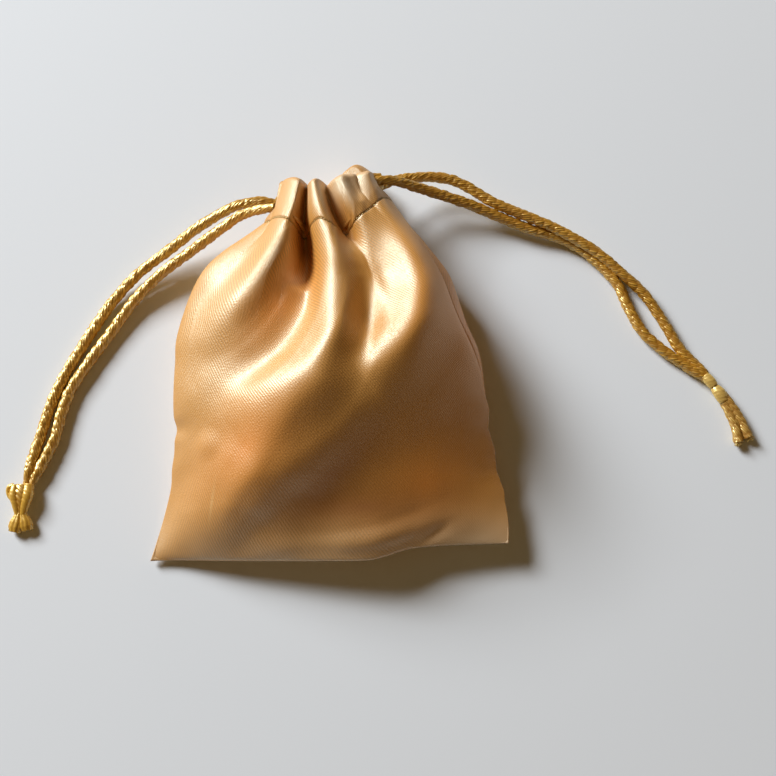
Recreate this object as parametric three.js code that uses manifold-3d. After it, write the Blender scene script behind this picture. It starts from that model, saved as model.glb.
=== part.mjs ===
// A small satin drawstring pouch (potli) that lies on its back with its mouth drawn in.
// Two satin panels are sewn together at the sides and the bottom. Each panel's top edge is folded over
// and sewn down as a casing. Two cords run round the mouth inside the casings: one leaves on the left,
// the other on the right, and each is doubled and tied in a knot.
// Millimetres. X runs across the pouch, Y from the bottom edge to the mouth, Z up from the table.
import * as THREE from 'three';
import * as BufferGeometryUtils from 'three/addons/utils/BufferGeometryUtils.js';
import Module from 'manifold-3d';

const wasm = await Module();
wasm.setup();

// Driving sizes
const CLOTH = 1.0; // wall of a satin panel
const GAP = 0.3; // clearance between pieces
const SEAM_GAP = 0.4; // clearance between the panels along their seam
const SEAM_DEPTH = 1.6; // how far a panel's edge reaches in along the seam
const CASING_HEIGHT = 12; // from the stitch line to the top fold
const CASING_WALLS = 5.9; // from a casing's outer face to its inner face
const CASING_END = 0.82; // share of the neck's width that the casing covers, the rest is the cord slit
const CASING_TAPER = 0.3; // share of the casing's height over which its ends draw in
const CASING_CORNER = 4; // how suddenly the ends draw in: a higher power keeps more of the casing wide
const FOLD_START = 0.86; // share of the casing's height where the cloth starts to turn over
const FOLD_ROUND = 2.2; // rounding of the casing's top fold
const HEM_WALLS = 2 * CLOTH + GAP; // from the outer face to the inner face where the hem is sewn down
const HEM_EDGE = 1.0; // from the stitch line to the hem's edge
const HEM_RISE = 2.4; // from the stitch line to where the channel has its full depth
const HEM_GATHER = 0.3; // share of the front's rolls that the hem's edge follows
const CORD_DIAMETER = 2.8;
const CORD_STEP = 6.5; // length of one step of a free cord, a little over two diameters
const CORD_SIDES = 8;
const RUN_DIAMETER = 2.2; // the cord inside the casings, where the cloth presses it thinner
const RUN_STEP = 3.6; // length of one step there, where the cord turns
const RUN_DEPTH = 6.2; // from the mouth's middle up or down to the cords in the casings
const RUN_ENTRY = 17.2; // how far the ends of a run reach from the mouth's middle
const RUN_BIGHT = 14.4; // how far its turn reaches on the other side
const RUN_OPEN = 0.2; // share of half a turn that is left open between its two ends
const RUN_SQUARE = 0.8; // below 1 the turn is boxier than a half circle
const RUN_POINTS = 18;
const CORD_STACK = 1.65; // two cords share a casing, each this far from their middle line
const STACK_CHANGE = 2.2; // how quickly a cord changes its side of that line where it turns

// How the cloth of the panels lies
const STITCH_REACH = 0.62; // from this share of the way up the body follows the stitch line's waves
const BOTTOM_REACH = 0.2; // up to this share it follows the sag of the bottom edge
const FOLD_FADE = 0.5; // folds fade out towards the seams as this power of the arch
const LYING_REACH = 0.72; // the back lies on the table up to this share of the way up
const LYING_SQUARE = 5; // the back's arch there: flat underneath
const LYING_ROUND = 0.7; // and rounded up to the seams
const LYING_PRESS = 0.35; // how much deeper the back would hang if the table did not press it flat
const EDGE_COLUMNS = 0.6; // how much closer the columns lie near the seams than in the middle
const DRAWN_FROM = 0.4; // from this share of the way up the columns draw together for the gathers
const DRAWN_FULL = 0.95; // and from this share they lie as at the stitch line

// The seam from the bottom edge (first row) to the casing's stitch line (last row), in equal steps
const SEAM = [
  { leftX: -48.25, leftY: -55.2, leftZ: 1.6, rightX: 48.25, rightY: -50.8, rightZ: 1.6 },
  { leftX: -45.0, leftY: -44.5, leftZ: 3.0, rightX: 48.0, rightY: -43.5, rightZ: 2.6 },
  { leftX: -42.4, leftY: -34.0, leftZ: 6.0, rightX: 46.0, rightY: -33.5, rightZ: 5.5 },
  { leftX: -41.6, leftY: -23.4, leftZ: 9.0, rightX: 43.8, rightY: -23.4, rightZ: 9.0 },
  { leftX: -42.0, leftY: -13.0, leftZ: 11.0, rightX: 42.4, rightY: -13.2, rightZ: 12.5 },
  { leftX: -41.7, leftY: -2.4, leftZ: 12.0, rightX: 39.9, rightY: -2.8, rightZ: 16.0 },
  { leftX: -39.6, leftY: 9.0, leftZ: 13.0, rightX: 34.6, rightY: 9.0, rightZ: 18.0 },
  { leftX: -32.5, leftY: 22.6, leftZ: 14.0, rightX: 28.6, rightY: 24.0, rightZ: 17.0 },
  { leftX: -18.5, leftY: 36.0, leftZ: 13.0, rightX: 17.5, rightY: 42.6, rightZ: 13.0 },
];

// The cloth between the seams, in the same steps: the height of the front's crown and of the back's
// lowest line, the shape of the front's arch (a higher square is boxier, a lower round is steeper at the
// seam) and how far the back's side swells out on the right.
const ARCHES = [
  { crown: 2.4, floor: 0, square: 2.0, round: 1.0, bulge: 0 },
  { crown: 9.0, floor: 0, square: 2.2, round: 1.1, bulge: 0 },
  { crown: 22.0, floor: 0, square: 2.2, round: 0.85, bulge: 0 },
  { crown: 29.0, floor: 0, square: 2.3, round: 0.7, bulge: 0.3 },
  { crown: 31.5, floor: 0, square: 2.4, round: 0.6, bulge: 1.4 },
  { crown: 31.0, floor: 0, square: 2.4, round: 0.55, bulge: 3.6 },
  { crown: 28.5, floor: 0.4, square: 2.4, round: 0.55, bulge: 5.0 },
  { crown: 25.0, floor: 2.0, square: 2.6, round: 0.5, bulge: 4.4 },
  { crown: 22.0, floor: 4.0, square: 3.0, round: 0.5, bulge: 0 },
];

// The drawn neck from its left end to its right end: where the stitch line and the top fold lie on the
// front, how far the front casing leans sideways between them, where the back's top fold lies and the
// middle line of the cords.
const NECK = [
  { across: -1.0, stitch: 36.0, top: 47.4, lean: 1.5, backTop: 47.5, cord: 42.2 },
  { across: -0.65, stitch: 33.8, top: 46.8, lean: 1.8, backTop: 48.0, cord: 40.9 },
  { across: -0.36, stitch: 31.2, top: 45.4, lean: 0.5, backTop: 48.5, cord: 39.6 },
  { across: -0.1, stitch: 32.8, top: 45.6, lean: -1.2, backTop: 49.5, cord: 39.0 },
  { across: 0.14, stitch: 31.2, top: 44.6, lean: -1.5, backTop: 51.5, cord: 39.0 },
  { across: 0.32, stitch: 31.8, top: 47.0, lean: -2.0, backTop: 54.0, cord: 40.0 },
  { across: 0.6, stitch: 36.0, top: 50.0, lean: -3.0, backTop: 56.3, cord: 43.2 },
  { across: 1.0, stitch: 42.6, top: 52.6, lean: -3.5, backTop: 53.6, cord: 48.2 },
];

// The bottom edge sags below the straight line between its corners and is creased near the right end.
const BOTTOM = [
  { across: -1.0, sag: 0 },
  { across: -0.5, sag: 1.3 },
  { across: 0.0, sag: 2.6 },
  { across: 0.25, sag: 2.8 },
  { across: 0.48, sag: 0.2 },
  { across: 1.0, sag: 0 },
];

// Folds of the front panel, each followed from the mouth down: where its middle is at each Y, how high
// it stands (a dent is negative), its half width and the share of it that is flat on top.
const FRONT_FOLDS = {
  leftRoll: [
    { y: 48, x: -10.2, height: 6.0, half: 3.8, flat: 0.4 },
    { y: 34, x: -12.6, height: 6.0, half: 4.2, flat: 0.35 },
    { y: 24, x: -18.0, height: 4.6, half: 6.5, flat: 0.2 },
    { y: 13, x: -26.0, height: 2.4, half: 8.5, flat: 0 },
    { y: 2, x: -33.0, height: 0, half: 9.0, flat: 0 },
  ],
  middleRoll: [
    { y: 48, x: -3.6, height: 5.6, half: 3.3, flat: 0.2 },
    { y: 33, x: -2.2, height: 6.4, half: 3.5, flat: 0.2 },
    { y: 24, x: 0.2, height: 6.2, half: 5.2, flat: 0.1 },
    { y: 10, x: -2.2, height: 4.6, half: 7.0, flat: 0 },
    { y: 0, x: -6.5, height: 3.4, half: 9.0, flat: 0 },
    { y: -8, x: -17.0, height: 2.0, half: 12.0, flat: 0 },
    { y: -16, x: -27.0, height: 0, half: 13.0, flat: 0 },
  ],
  rightRoll: [
    { y: 50, x: 7.0, height: 5.6, half: 6.2, flat: 0.55 },
    { y: 36, x: 9.6, height: 6.0, half: 6.8, flat: 0.5 },
    { y: 25, x: 14.0, height: 4.4, half: 9.0, flat: 0.2 },
    { y: 12, x: 18.5, height: 3.6, half: 11.0, flat: 0 },
    { y: 2, x: 16.0, height: 2.6, half: 12.0, flat: 0 },
    { y: -8, x: 8.0, height: 0, half: 12.0, flat: 0 },
  ],
  casingDent: [
    { y: 47, x: 5.2, height: 0, half: 3.0, flat: 0 },
    { y: 42.5, x: 7.4, height: -2.4, half: 3.2, flat: 0 },
    { y: 37, x: 10.4, height: 0, half: 3.0, flat: 0 },
  ],
  leftDent: [
    { y: 24, x: -8.0, height: 0, half: 4.5, flat: 0 },
    { y: 12, x: -13.0, height: -3.0, half: 7.5, flat: 0 },
    { y: 2, x: -17.0, height: 0, half: 8.0, flat: 0 },
  ],
  middleDent: [
    { y: 20, x: 6.0, height: 0, half: 4.5, flat: 0 },
    { y: 9.5, x: 9.0, height: -2.6, half: 6.0, flat: 0 },
    { y: 0, x: 6.0, height: 0, half: 6.0, flat: 0 },
  ],
  fillingEdge: [
    { y: -6, x: 29.0, height: 0, half: 20.0, flat: 0 },
    { y: -14, x: 18.0, height: 2.2, half: 20.0, flat: 0 },
    { y: -30, x: -5.0, height: 3.2, half: 20.0, flat: 0 },
    { y: -44, x: -25.0, height: 2.0, half: 16.0, flat: 0 },
    { y: -53, x: -36.0, height: 0, half: 14.0, flat: 0 },
  ],
};

// Folds of the back panel: the lower rolls of the drawn neck.
const BACK_FOLDS = {
  leftRoll: [
    { y: 50, x: -9.5, height: 2.4, half: 4.4, flat: 0.3 },
    { y: 32, x: -10.5, height: 2.4, half: 4.8, flat: 0.3 },
    { y: 16, x: -15.0, height: 0, half: 7.0, flat: 0 },
  ],
  middleRoll: [
    { y: 52, x: 0.6, height: 2.4, half: 4.2, flat: 0.3 },
    { y: 32, x: 0.4, height: 2.4, half: 4.6, flat: 0.3 },
    { y: 16, x: 0, height: 0, half: 7.0, flat: 0 },
  ],
  rightRoll: [
    { y: 55, x: 9.8, height: 2.2, half: 4.0, flat: 0.3 },
    { y: 34, x: 10.2, height: 2.2, half: 4.6, flat: 0.3 },
    { y: 18, x: 14.0, height: 0, half: 7.0, flat: 0 },
  ],
};

// The two panels: which way they face, their folds and how finely they are divided.
const FRONT = { face: 1, folds: FRONT_FOLDS, columns: 42, rows: 18 };
const BACK = { face: -1, folds: BACK_FOLDS, columns: 28, rows: 18 };
const CASING_ROWS = 3;
const FOLD_ROWS = 4;
const HEM_ROWS = [0.6, 0.3, 0.2, 0.08]; // heights of the hem's rows as shares of the casing

// Routes of the four free strands from the casing to the knot
const LEFT_FRONT_ROUTE = [
  [-15.0, 40.4, 16.4], [-19.0, 40.6, 14.5], [-25.0, 39.8, 12.0], [-30.8, 36.6, 10.0], [-38.9, 31.5, 7.0],
  [-48.7, 24.9, 4.4], [-55.6, 18.3, 2.6], [-61.6, 9.5, 1.5], [-66.4, -0.4, 1.5], [-72.0, -10.2, 1.5],
  [-75.0, -17.8, 1.5], [-78.2, -26.0, 1.5], [-81.4, -34.6, 1.9],
];
const LEFT_BACK_ROUTE = [
  [-15.0, 44.0, 9.6], [-19.0, 44.5, 10.6], [-25.0, 43.8, 10.4], [-35.3, 39.3, 8.2], [-45.7, 32.3, 5.4],
  [-55.6, 25.0, 3.2], [-63.2, 16.3, 1.8], [-69.1, 6.6, 1.5], [-73.8, -4.7, 1.5], [-78.0, -13.6, 1.5],
  [-81.0, -22.6, 1.5], [-83.2, -29.4, 1.5], [-84.9, -34.6, 1.9],
];
const RIGHT_FRONT_ROUTE = [
  [14.1, 49.8, 16.4], [18.0, 50.4, 14.8], [29.2, 51.0, 12.6], [36.0, 50.4, 11.2], [46.0, 46.0, 9.0],
  [58.2, 40.7, 6.4], [67.3, 38.3, 4.6], [77.8, 31.9, 2.0], [85.2, 23.7, 1.5], [92.4, 13.6, 1.5],
  [98.8, 3.9, 1.5], [105.4, -2.2, 1.9],
];
const RIGHT_BACK_ROUTE = [
  [14.2, 46.5, 9.7], [18.0, 46.7, 10.4], [25.6, 47.4, 9.6], [40.6, 46.4, 6.2], [52.6, 43.0, 3.2],
  [64.5, 37.4, 1.5], [73.8, 30.2, 1.5], [80.6, 23.2, 1.5], [85.2, 15.1, 1.5], [90.6, 6.0, 1.5],
  [97.4, -0.9, 1.5], [102.9, -4.6, 1.9],
];

// Knots: the middle, the way the cord runs through, the turns round it and the tails that come out
const LEFT_KNOT = {
  middle: [-83.4, -38.8, 2.7],
  toward: [-0.05, -1, 0],
  radius: 2.3,
  length: 7.4,
  turns: [{ at: -1.6, radius: 1.75, tilt: 0.3 }, { at: 1.3, radius: 1.5, tilt: -0.25 }],
  tails: [
    { spread: -0.36, length: 5.6, start: 1.2, end: 1.35 },
    { spread: 0.34, length: 5.6, start: 1.2, end: 1.35 },
  ],
};
const RIGHT_KNOT = {
  middle: [107.4, -6.8, 2.7],
  toward: [0.72, -0.7, 0],
  radius: 2.2,
  length: 6.6,
  turns: [{ at: -1.5, radius: 1.7, tilt: 0.2 }, { at: 1.5, radius: 1.7, tilt: 0.2 }],
  tails: [
    { spread: -0.68, length: 14.5, start: 1.35, end: 1.45 },
    { spread: -0.36, length: 14.5, start: 1.35, end: 1.45 },
  ],
};
const KNOT_CORD = 0.95; // radius of the cord where it is drawn tight round a knot
const MERGE_DISTANCE = 1e-4; // corners of a knot's shapes closer than this are one
const TAIL_START = 0.3; // the tails start this share of the knot's length past its middle

const SATIN = { color: 0xd9a456, roughness: 0.38, metalness: 0.15 };
const CORD = { color: 0xc99a3c, roughness: 0.5, metalness: 0.1 };

const { lerp, smoothstep, clamp } = THREE.MathUtils;

// A smooth curve through a table's column, with the rows spaced evenly from 0 to 1
function along(table, column, share) {
  const place = clamp(share, 0, 1) * (table.length - 1);
  const row = Math.min(Math.floor(place), table.length - 2);
  const at = (index) => table[clamp(index, 0, table.length - 1)][column];
  const [before, start, end, after] = [at(row - 1), at(row), at(row + 1), at(row + 2)];
  const t = place - row;
  const startSlope = (end - before) / 2;
  const endSlope = (after - start) / 2;
  const bend = 2 * (start - end) + startSlope + endSlope;
  const curve = 3 * (end - start) - 2 * startSlope - endSlope;
  return ((bend * t + curve) * t + startSlope) * t + start;
}

// The same through rows that are spaced by a key column, level at the first and the last row
function between(table, key, column, value) {
  const rows = table[0][key] < table[1][key] ? table : [...table].reverse();
  const last = rows.length - 1;
  if (value <= rows[0][key]) return rows[0][column];
  if (value >= rows[last][key]) return rows[last][column];
  const after = rows.findIndex((row) => row[key] >= value);
  const slope = (index) => {
    if (index === 0 || index === last) return 0;
    const [low, high] = [rows[index - 1], rows[index + 1]];
    return (high[column] - low[column]) / (high[key] - low[key]);
  };
  const [low, high] = [rows[after - 1], rows[after]];
  const span = high[key] - low[key];
  const t = (value - low[key]) / span;
  const rise = high[column] - low[column];
  const [startSlope, endSlope] = [slope(after - 1) * span, slope(after) * span];
  const bend = startSlope + endSlope - 2 * rise;
  const curve = 3 * rise - 2 * startSlope - endSlope;
  return ((bend * t + curve) * t + startSlope) * t + low[column];
}

// Height of one fold at a place on the panel
function foldHeight(stations, x, y) {
  const half = between(stations, 'y', 'half', y);
  const away = Math.abs(x - between(stations, 'y', 'x', y)) / half;
  const slope = 1 - smoothstep(away, between(stations, 'y', 'flat', y), 1);
  return between(stations, 'y', 'height', y) * slope;
}

function foldsHeight(panel, x, y) {
  return Object.values(panel.folds).reduce((sum, stations) => sum + foldHeight(stations, x, y), 0);
}

// The seam's two ends at a share of the way up, and the arches between them
function section(share) {
  const seam = (column) => along(SEAM, column, share);
  const arches = (column) => along(ARCHES, column, share);
  return {
    left: new THREE.Vector3(seam('leftX'), seam('leftY'), seam('leftZ')),
    right: new THREE.Vector3(seam('rightX'), seam('rightY'), seam('rightZ')),
    crown: arches('crown'),
    floor: arches('floor'),
    square: arches('square'),
    round: arches('round'),
    bulge: arches('bulge'),
  };
}

// The panel's arch over the seam, from 0 at the seam to 1 in the middle
function arch(row, across) {
  return (1 - Math.abs(across) ** row.square) ** row.round;
}

// How far the stitch line lies from the straight line between the ends of the seam
function stitchSag(across) {
  const straight = lerp(NECK[0].stitch, NECK[NECK.length - 1].stitch, (across + 1) / 2);
  return between(NECK, 'across', 'stitch', across) - straight;
}

// A point on a panel's outer face below the stitch line
function bodyPoint(panel, across, share) {
  const row = section(share);
  const point = row.left.clone().lerp(row.right, (across + 1) / 2);
  const seam = point.z;
  point.y += stitchSag(across) * smoothstep(share, STITCH_REACH, 1);
  point.y -= between(BOTTOM, 'across', 'sag', across) * (1 - smoothstep(share, 0, BOTTOM_REACH));
  const folds = foldsHeight(panel, point.x, point.y) * arch(row, across) ** FOLD_FADE;
  if (panel.face > 0) {
    const crown = row.crown - (row.left.z + row.right.z) / 2;
    const rise = crown * arch(row, across) + folds;
    point.z = seam + SEAM_GAP / 2 + Math.max(rise, 0);
    return point;
  }
  const lying = 1 - smoothstep(share, LYING_REACH, 1);
  const lyingArch = {
    square: lerp(row.square, LYING_SQUARE, lying),
    round: lerp(row.round, LYING_ROUND, lying),
  };
  const drop = arch(lyingArch, across);
  const depth = (seam - row.floor) * (1 + LYING_PRESS * lying);
  if (across > 0) point.x += row.bulge * Math.sin(Math.PI * drop);
  point.z = Math.max(seam - SEAM_GAP / 2 - depth * drop - folds, 0);
  return point;
}

// A point on a casing: height runs from the stitch line (0) to the top fold (1), inset from the outer
// face to the mouth, and gather is the share of the neck's rolls that it follows.
function casingPoint(panel, across, height, inset, gather) {
  const neck = section(1);
  const middle = neck.left.clone().lerp(neck.right, 0.5);
  const half = (neck.right.x - neck.left.x) / 2;
  const place = across * lerp(1, CASING_END, smoothstep(height, 0, CASING_TAPER) * across ** CASING_CORNER);
  const front = panel.face > 0;
  const stitch = between(NECK, 'across', 'stitch', across);
  const top = between(NECK, 'across', front ? 'top' : 'backTop', across);
  const y = lerp(stitch, top, height);
  const outerX = middle.x + half * place;
  const lean = (front ? between(NECK, 'across', 'lean', across) : 0) * height * gather;
  const depth = front ? neck.crown - middle.z : middle.z - neck.floor;
  const rolls = foldsHeight(panel, outerX, y) * arch(neck, place) ** FOLD_FADE * gather;
  const rise = (depth - inset) * arch(neck, place) + rolls;
  const z = middle.z + panel.face * (SEAM_GAP / 2 + rise);
  return new THREE.Vector3(middle.x + (half - inset) * place + lean, y, z);
}

// Where the columns of cloth lie across the neck: gathered cloth has the same length of stitch line
// in every column, so a roll takes more columns than a flat stretch.
function gatheredColumns(panel) {
  const samples = 400;
  const lengths = [0];
  let last = bodyPoint(panel, -1, 1);
  for (let index = 1; index <= samples; index += 1) {
    const next = bodyPoint(panel, -1 + (2 * index) / samples, 1);
    lengths.push(lengths[index - 1] + next.distanceTo(last));
    last = next;
  }
  return Array.from({ length: panel.columns + 1 }, (_, column) => {
    const wanted = Math.min(column / panel.columns, 1) * lengths[samples];
    const index = clamp(lengths.findIndex((length) => length >= wanted), 1, samples);
    const part = (wanted - lengths[index - 1]) / (lengths[index] - lengths[index - 1]);
    return -1 + (2 * (index - 1 + part)) / samples;
  });
}

// The outer face of a panel as rows of points: up the body, up the casing, over the top fold and down
// the hem to its edge
function outerFace(panel) {
  const gathered = gatheredColumns(panel);
  const columns = gathered.map((_, column) => column);
  const spread = columns.map((column) => {
    const even = (2 * column) / panel.columns - 1;
    return lerp(even, Math.sin((Math.PI / 2) * even), EDGE_COLUMNS);
  });
  const rows = [];
  for (let row = 0; row <= panel.rows; row += 1) {
    const share = row / panel.rows;
    const drawn = smoothstep(share, DRAWN_FROM, DRAWN_FULL);
    const places = columns.map((column) => lerp(spread[column], gathered[column], drawn));
    rows.push(places.map((across) => bodyPoint(panel, across, share)));
  }
  const bodyRows = rows.length;
  const casing = (height, inset, gather) =>
    gathered.map((across) => casingPoint(panel, across, height, inset, gather));
  for (let row = 1; row <= CASING_ROWS; row += 1) {
    rows.push(casing((row / CASING_ROWS) * FOLD_START, 0, 1));
  }
  const outer = casing(FOLD_START, 0, 1);
  const inner = casing(FOLD_START, CASING_WALLS, 0);
  for (let row = 1; row <= FOLD_ROWS; row += 1) {
    const turn = (Math.PI * row) / FOLD_ROWS;
    rows.push(outer.map((point, column) => {
      const folded = point.clone().lerp(inner[column], (1 - Math.cos(turn)) / 2);
      folded.y += FOLD_ROUND * Math.sin(turn);
      return folded;
    }));
  }
  for (const height of HEM_ROWS) {
    const deep = smoothstep(height * CASING_HEIGHT, HEM_EDGE, HEM_RISE);
    rows.push(casing(height, lerp(HEM_WALLS, CASING_WALLS, deep), HEM_GATHER * (1 - deep)));
  }
  return { rows, bodyRows };
}

// Directions square to a panel's outer face, pointing out of the cloth
function faceNormals(panel, rows) {
  return rows.map((row, r) => row.map((_, c) => {
    const across = row[Math.min(c + 1, row.length - 1)].clone().sub(row[Math.max(c - 1, 0)]);
    const up = rows[Math.min(r + 1, rows.length - 1)][c].clone().sub(rows[Math.max(r - 1, 0)][c]);
    return across.cross(up).normalize().multiplyScalar(panel.face);
  }));
}

// The inner face: the outer face moved in by the cloth's wall. At the seams the wall runs straight in
// along the seam, and nowhere does it cross the level of the seam, so the panels never touch.
function innerFace(panel, rows, bodyRows) {
  const normals = faceNormals(panel, rows);
  return rows.map((row, r) => row.map((point, c) => {
    const inner = point.clone().addScaledVector(normals[r][c], -CLOTH);
    if (r >= bodyRows) return inner;
    const side = c === 0 ? 1 : c === row.length - 1 ? -1 : 0;
    if (r === 0 || side !== 0) {
      inner.copy(point);
      inner.x += side * SEAM_DEPTH;
      if (r === 0) inner.y += SEAM_DEPTH;
      return inner;
    }
    const share = (point.x - row[0].x) / (row[row.length - 1].x - row[0].x);
    const seam = lerp(row[0].z, row[row.length - 1].z, clamp(share, 0, 1));
    inner.z = panel.face > 0 ? Math.max(inner.z, seam) : Math.min(inner.z, seam);
    return inner;
  }));
}

// A closed sheet between two grids of points
function sheetGeometry(outer, inner, face) {
  const rowCount = outer.length;
  const columnCount = outer[0].length;
  const points = [...outer.flat(), ...inner.flat()];
  const index = (layer, row, column) => (layer * rowCount + row) * columnCount + column;
  const triangles = [];
  const quad = (a, b, c, d) => {
    const corners = face > 0 ? [a, b, c, a, c, d] : [a, c, b, a, d, c];
    triangles.push(...corners);
  };
  for (let r = 0; r < rowCount - 1; r += 1) {
    for (let c = 0; c < columnCount - 1; c += 1) {
      quad(index(0, r, c), index(0, r, c + 1), index(0, r + 1, c + 1), index(0, r + 1, c));
      quad(index(1, r, c), index(1, r + 1, c), index(1, r + 1, c + 1), index(1, r, c + 1));
    }
    const last = columnCount - 1;
    quad(index(0, r, 0), index(0, r + 1, 0), index(1, r + 1, 0), index(1, r, 0));
    quad(index(0, r + 1, last), index(0, r, last), index(1, r, last), index(1, r + 1, last));
  }
  for (let c = 0; c < columnCount - 1; c += 1) {
    const last = rowCount - 1;
    quad(index(0, 0, c + 1), index(0, 0, c), index(1, 0, c), index(1, 0, c + 1));
    quad(index(0, last, c), index(0, last, c + 1), index(1, last, c + 1), index(1, last, c));
  }
  const geometry = new THREE.BufferGeometry();
  geometry.setAttribute('position', new THREE.Float32BufferAttribute(points.flatMap((p) => p.toArray()), 3));
  geometry.setIndex(triangles);
  return geometry;
}

function panelGeometry(panel) {
  const { rows, bodyRows } = outerFace(panel);
  return sheetGeometry(rows, innerFace(panel, rows, bodyRows), panel.face);
}

// A round cord along a smooth curve
function cordGeometry(points, diameter, step) {
  const curve = new THREE.CatmullRomCurve3(points, false, 'centripetal');
  const ring = new THREE.Shape();
  for (let side = 0; side < CORD_SIDES; side += 1) {
    const turn = (2 * Math.PI * (side + 0.5)) / CORD_SIDES;
    const [x, y] = [Math.cos(turn), Math.sin(turn)].map((value) => (value * diameter) / 2);
    if (side === 0) ring.moveTo(x, y);
    else ring.lineTo(x, y);
  }
  ring.closePath();
  const steps = Math.ceil(curve.getLength() / step);
  return new THREE.ExtrudeGeometry(ring, { steps, extrudePath: curve });
}

// The middle line of the cords in a casing at a place across the neck
function channelY(x) {
  const neck = section(1);
  const middle = (neck.left.x + neck.right.x) / 2;
  const reach = ((neck.right.x - neck.left.x - CASING_WALLS) / 2) * CASING_END;
  const across = clamp((x - middle) / reach, -1, 1);
  return between(NECK, 'across', 'cord', across);
}

function channelSlope(x) {
  const reach = 0.5;
  return (channelY(x + reach) - channelY(x - reach)) / (2 * reach);
}

// A cord inside the casings: it enters at one end of the front casing, turns at the other end of the
// neck and comes back through the back casing. side is -1 for the left cord and 1 for the right one.
function runPoints(side) {
  const neck = section(1);
  const middle = neck.left.clone().lerp(neck.right, 0.5);
  const points = [];
  for (let step = 0; step <= RUN_POINTS; step += 1) {
    const turn = Math.PI * lerp(RUN_OPEN, 2 - RUN_OPEN, step / RUN_POINTS);
    const [forward, up] = [Math.cos(turn), Math.sin(turn)];
    const entering = forward > 0;
    const reach = entering ? RUN_ENTRY * forward : -RUN_BIGHT * Math.abs(forward) ** RUN_SQUARE;
    const rise = entering ? up : Math.sign(up) * Math.abs(up) ** RUN_SQUARE;
    const x = middle.x + side * reach;
    const stack = side * CORD_STACK * clamp(up * STACK_CHANGE, -1, 1);
    const slope = channelSlope(x);
    const length = Math.hypot(slope, 1);
    const y = channelY(x) + stack / length;
    points.push(new THREE.Vector3(x - (stack * slope) / length, y, middle.z + RUN_DEPTH * rise));
  }
  return points;
}

// Joins closed shapes into one solid
function union(geometries) {
  const solids = geometries.map((geometry) => {
    const bare = geometry.clone();
    bare.deleteAttribute('normal');
    bare.deleteAttribute('uv');
    const merged = BufferGeometryUtils.mergeVertices(bare, MERGE_DISTANCE);
    return new wasm.Manifold(new wasm.Mesh({
      numProp: 3,
      vertProperties: new Float32Array(merged.attributes.position.array),
      triVerts: new Uint32Array(merged.index.array),
    }));
  });
  const mesh = solids.reduce((sum, solid) => sum.add(solid)).getMesh();
  const geometry = new THREE.BufferGeometry();
  geometry.setAttribute('position', new THREE.BufferAttribute(new Float32Array(mesh.vertProperties), 3));
  geometry.setIndex(new THREE.BufferAttribute(new Uint32Array(mesh.triVerts), 1));
  return geometry;
}

// A knot lying along +Y: a round body, turns of cord round it and the cut tails
function knotGeometry(knot) {
  const [sides, rings] = [10, 6];
  const body = new THREE.SphereGeometry(1, sides, rings).scale(knot.radius, knot.length / 2, knot.radius);
  const [turnSides, turnSteps] = [6, 12];
  const turns = knot.turns.map((turn) =>
    new THREE.TorusGeometry(turn.radius, KNOT_CORD, turnSides, turnSteps)
      .rotateX(Math.PI / 2 + turn.tilt)
      .translate(0, turn.at, 0));
  const tails = knot.tails.map((tail) => {
    const drop = tail.end - knot.middle[2] + GAP;
    return new THREE.CylinderGeometry(tail.end, tail.start, tail.length, CORD_SIDES)
      .translate(0, tail.length / 2 + knot.length * TAIL_START, drop)
      .rotateZ(tail.spread);
  });
  return union([body, ...turns, ...tails]);
}

const group = new THREE.Group();

function addPiece(name, geometry, material) {
  const mesh = new THREE.Mesh(geometry, new THREE.MeshStandardMaterial(material));
  mesh.name = name;
  group.add(mesh);
  return mesh;
}

function addKnot(name, knot) {
  const mesh = addPiece(name, knotGeometry(knot), CORD);
  mesh.position.fromArray(knot.middle);
  mesh.rotation.z = Math.atan2(-knot.toward[0], knot.toward[1]);
}

addPiece('front_panel', panelGeometry(FRONT), SATIN);
addPiece('back_panel', panelGeometry(BACK), SATIN);
addPiece('left_cord_run', cordGeometry(runPoints(-1), RUN_DIAMETER, RUN_STEP), CORD);
addPiece('right_cord_run', cordGeometry(runPoints(1), RUN_DIAMETER, RUN_STEP), CORD);

const STRANDS = {
  left_cord_front: LEFT_FRONT_ROUTE,
  left_cord_back: LEFT_BACK_ROUTE,
  right_cord_front: RIGHT_FRONT_ROUTE,
  right_cord_back: RIGHT_BACK_ROUTE,
};
for (const [name, route] of Object.entries(STRANDS)) {
  const points = route.map((point) => new THREE.Vector3(...point));
  addPiece(name, cordGeometry(points, CORD_DIAMETER, CORD_STEP), CORD);
}
addKnot('left_knot', LEFT_KNOT);
addKnot('right_knot', RIGHT_KNOT);

export default group;
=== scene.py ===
# %% [markdown]
# # A gold satin potli bag
# A potli is a small pouch that closes with drawstrings. This one lies on its back on a table with its mouth
# drawn in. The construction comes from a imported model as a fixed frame: two cloth panels, the cords inside
# the casings, four free strands and two knots, as plain solids. In this lesson each of them gets its real
# surface: shiny cloth with folds and sewn puckers, twisted cords, tied knots and a row of stitches.

# %% Load the frame
import math

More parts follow.
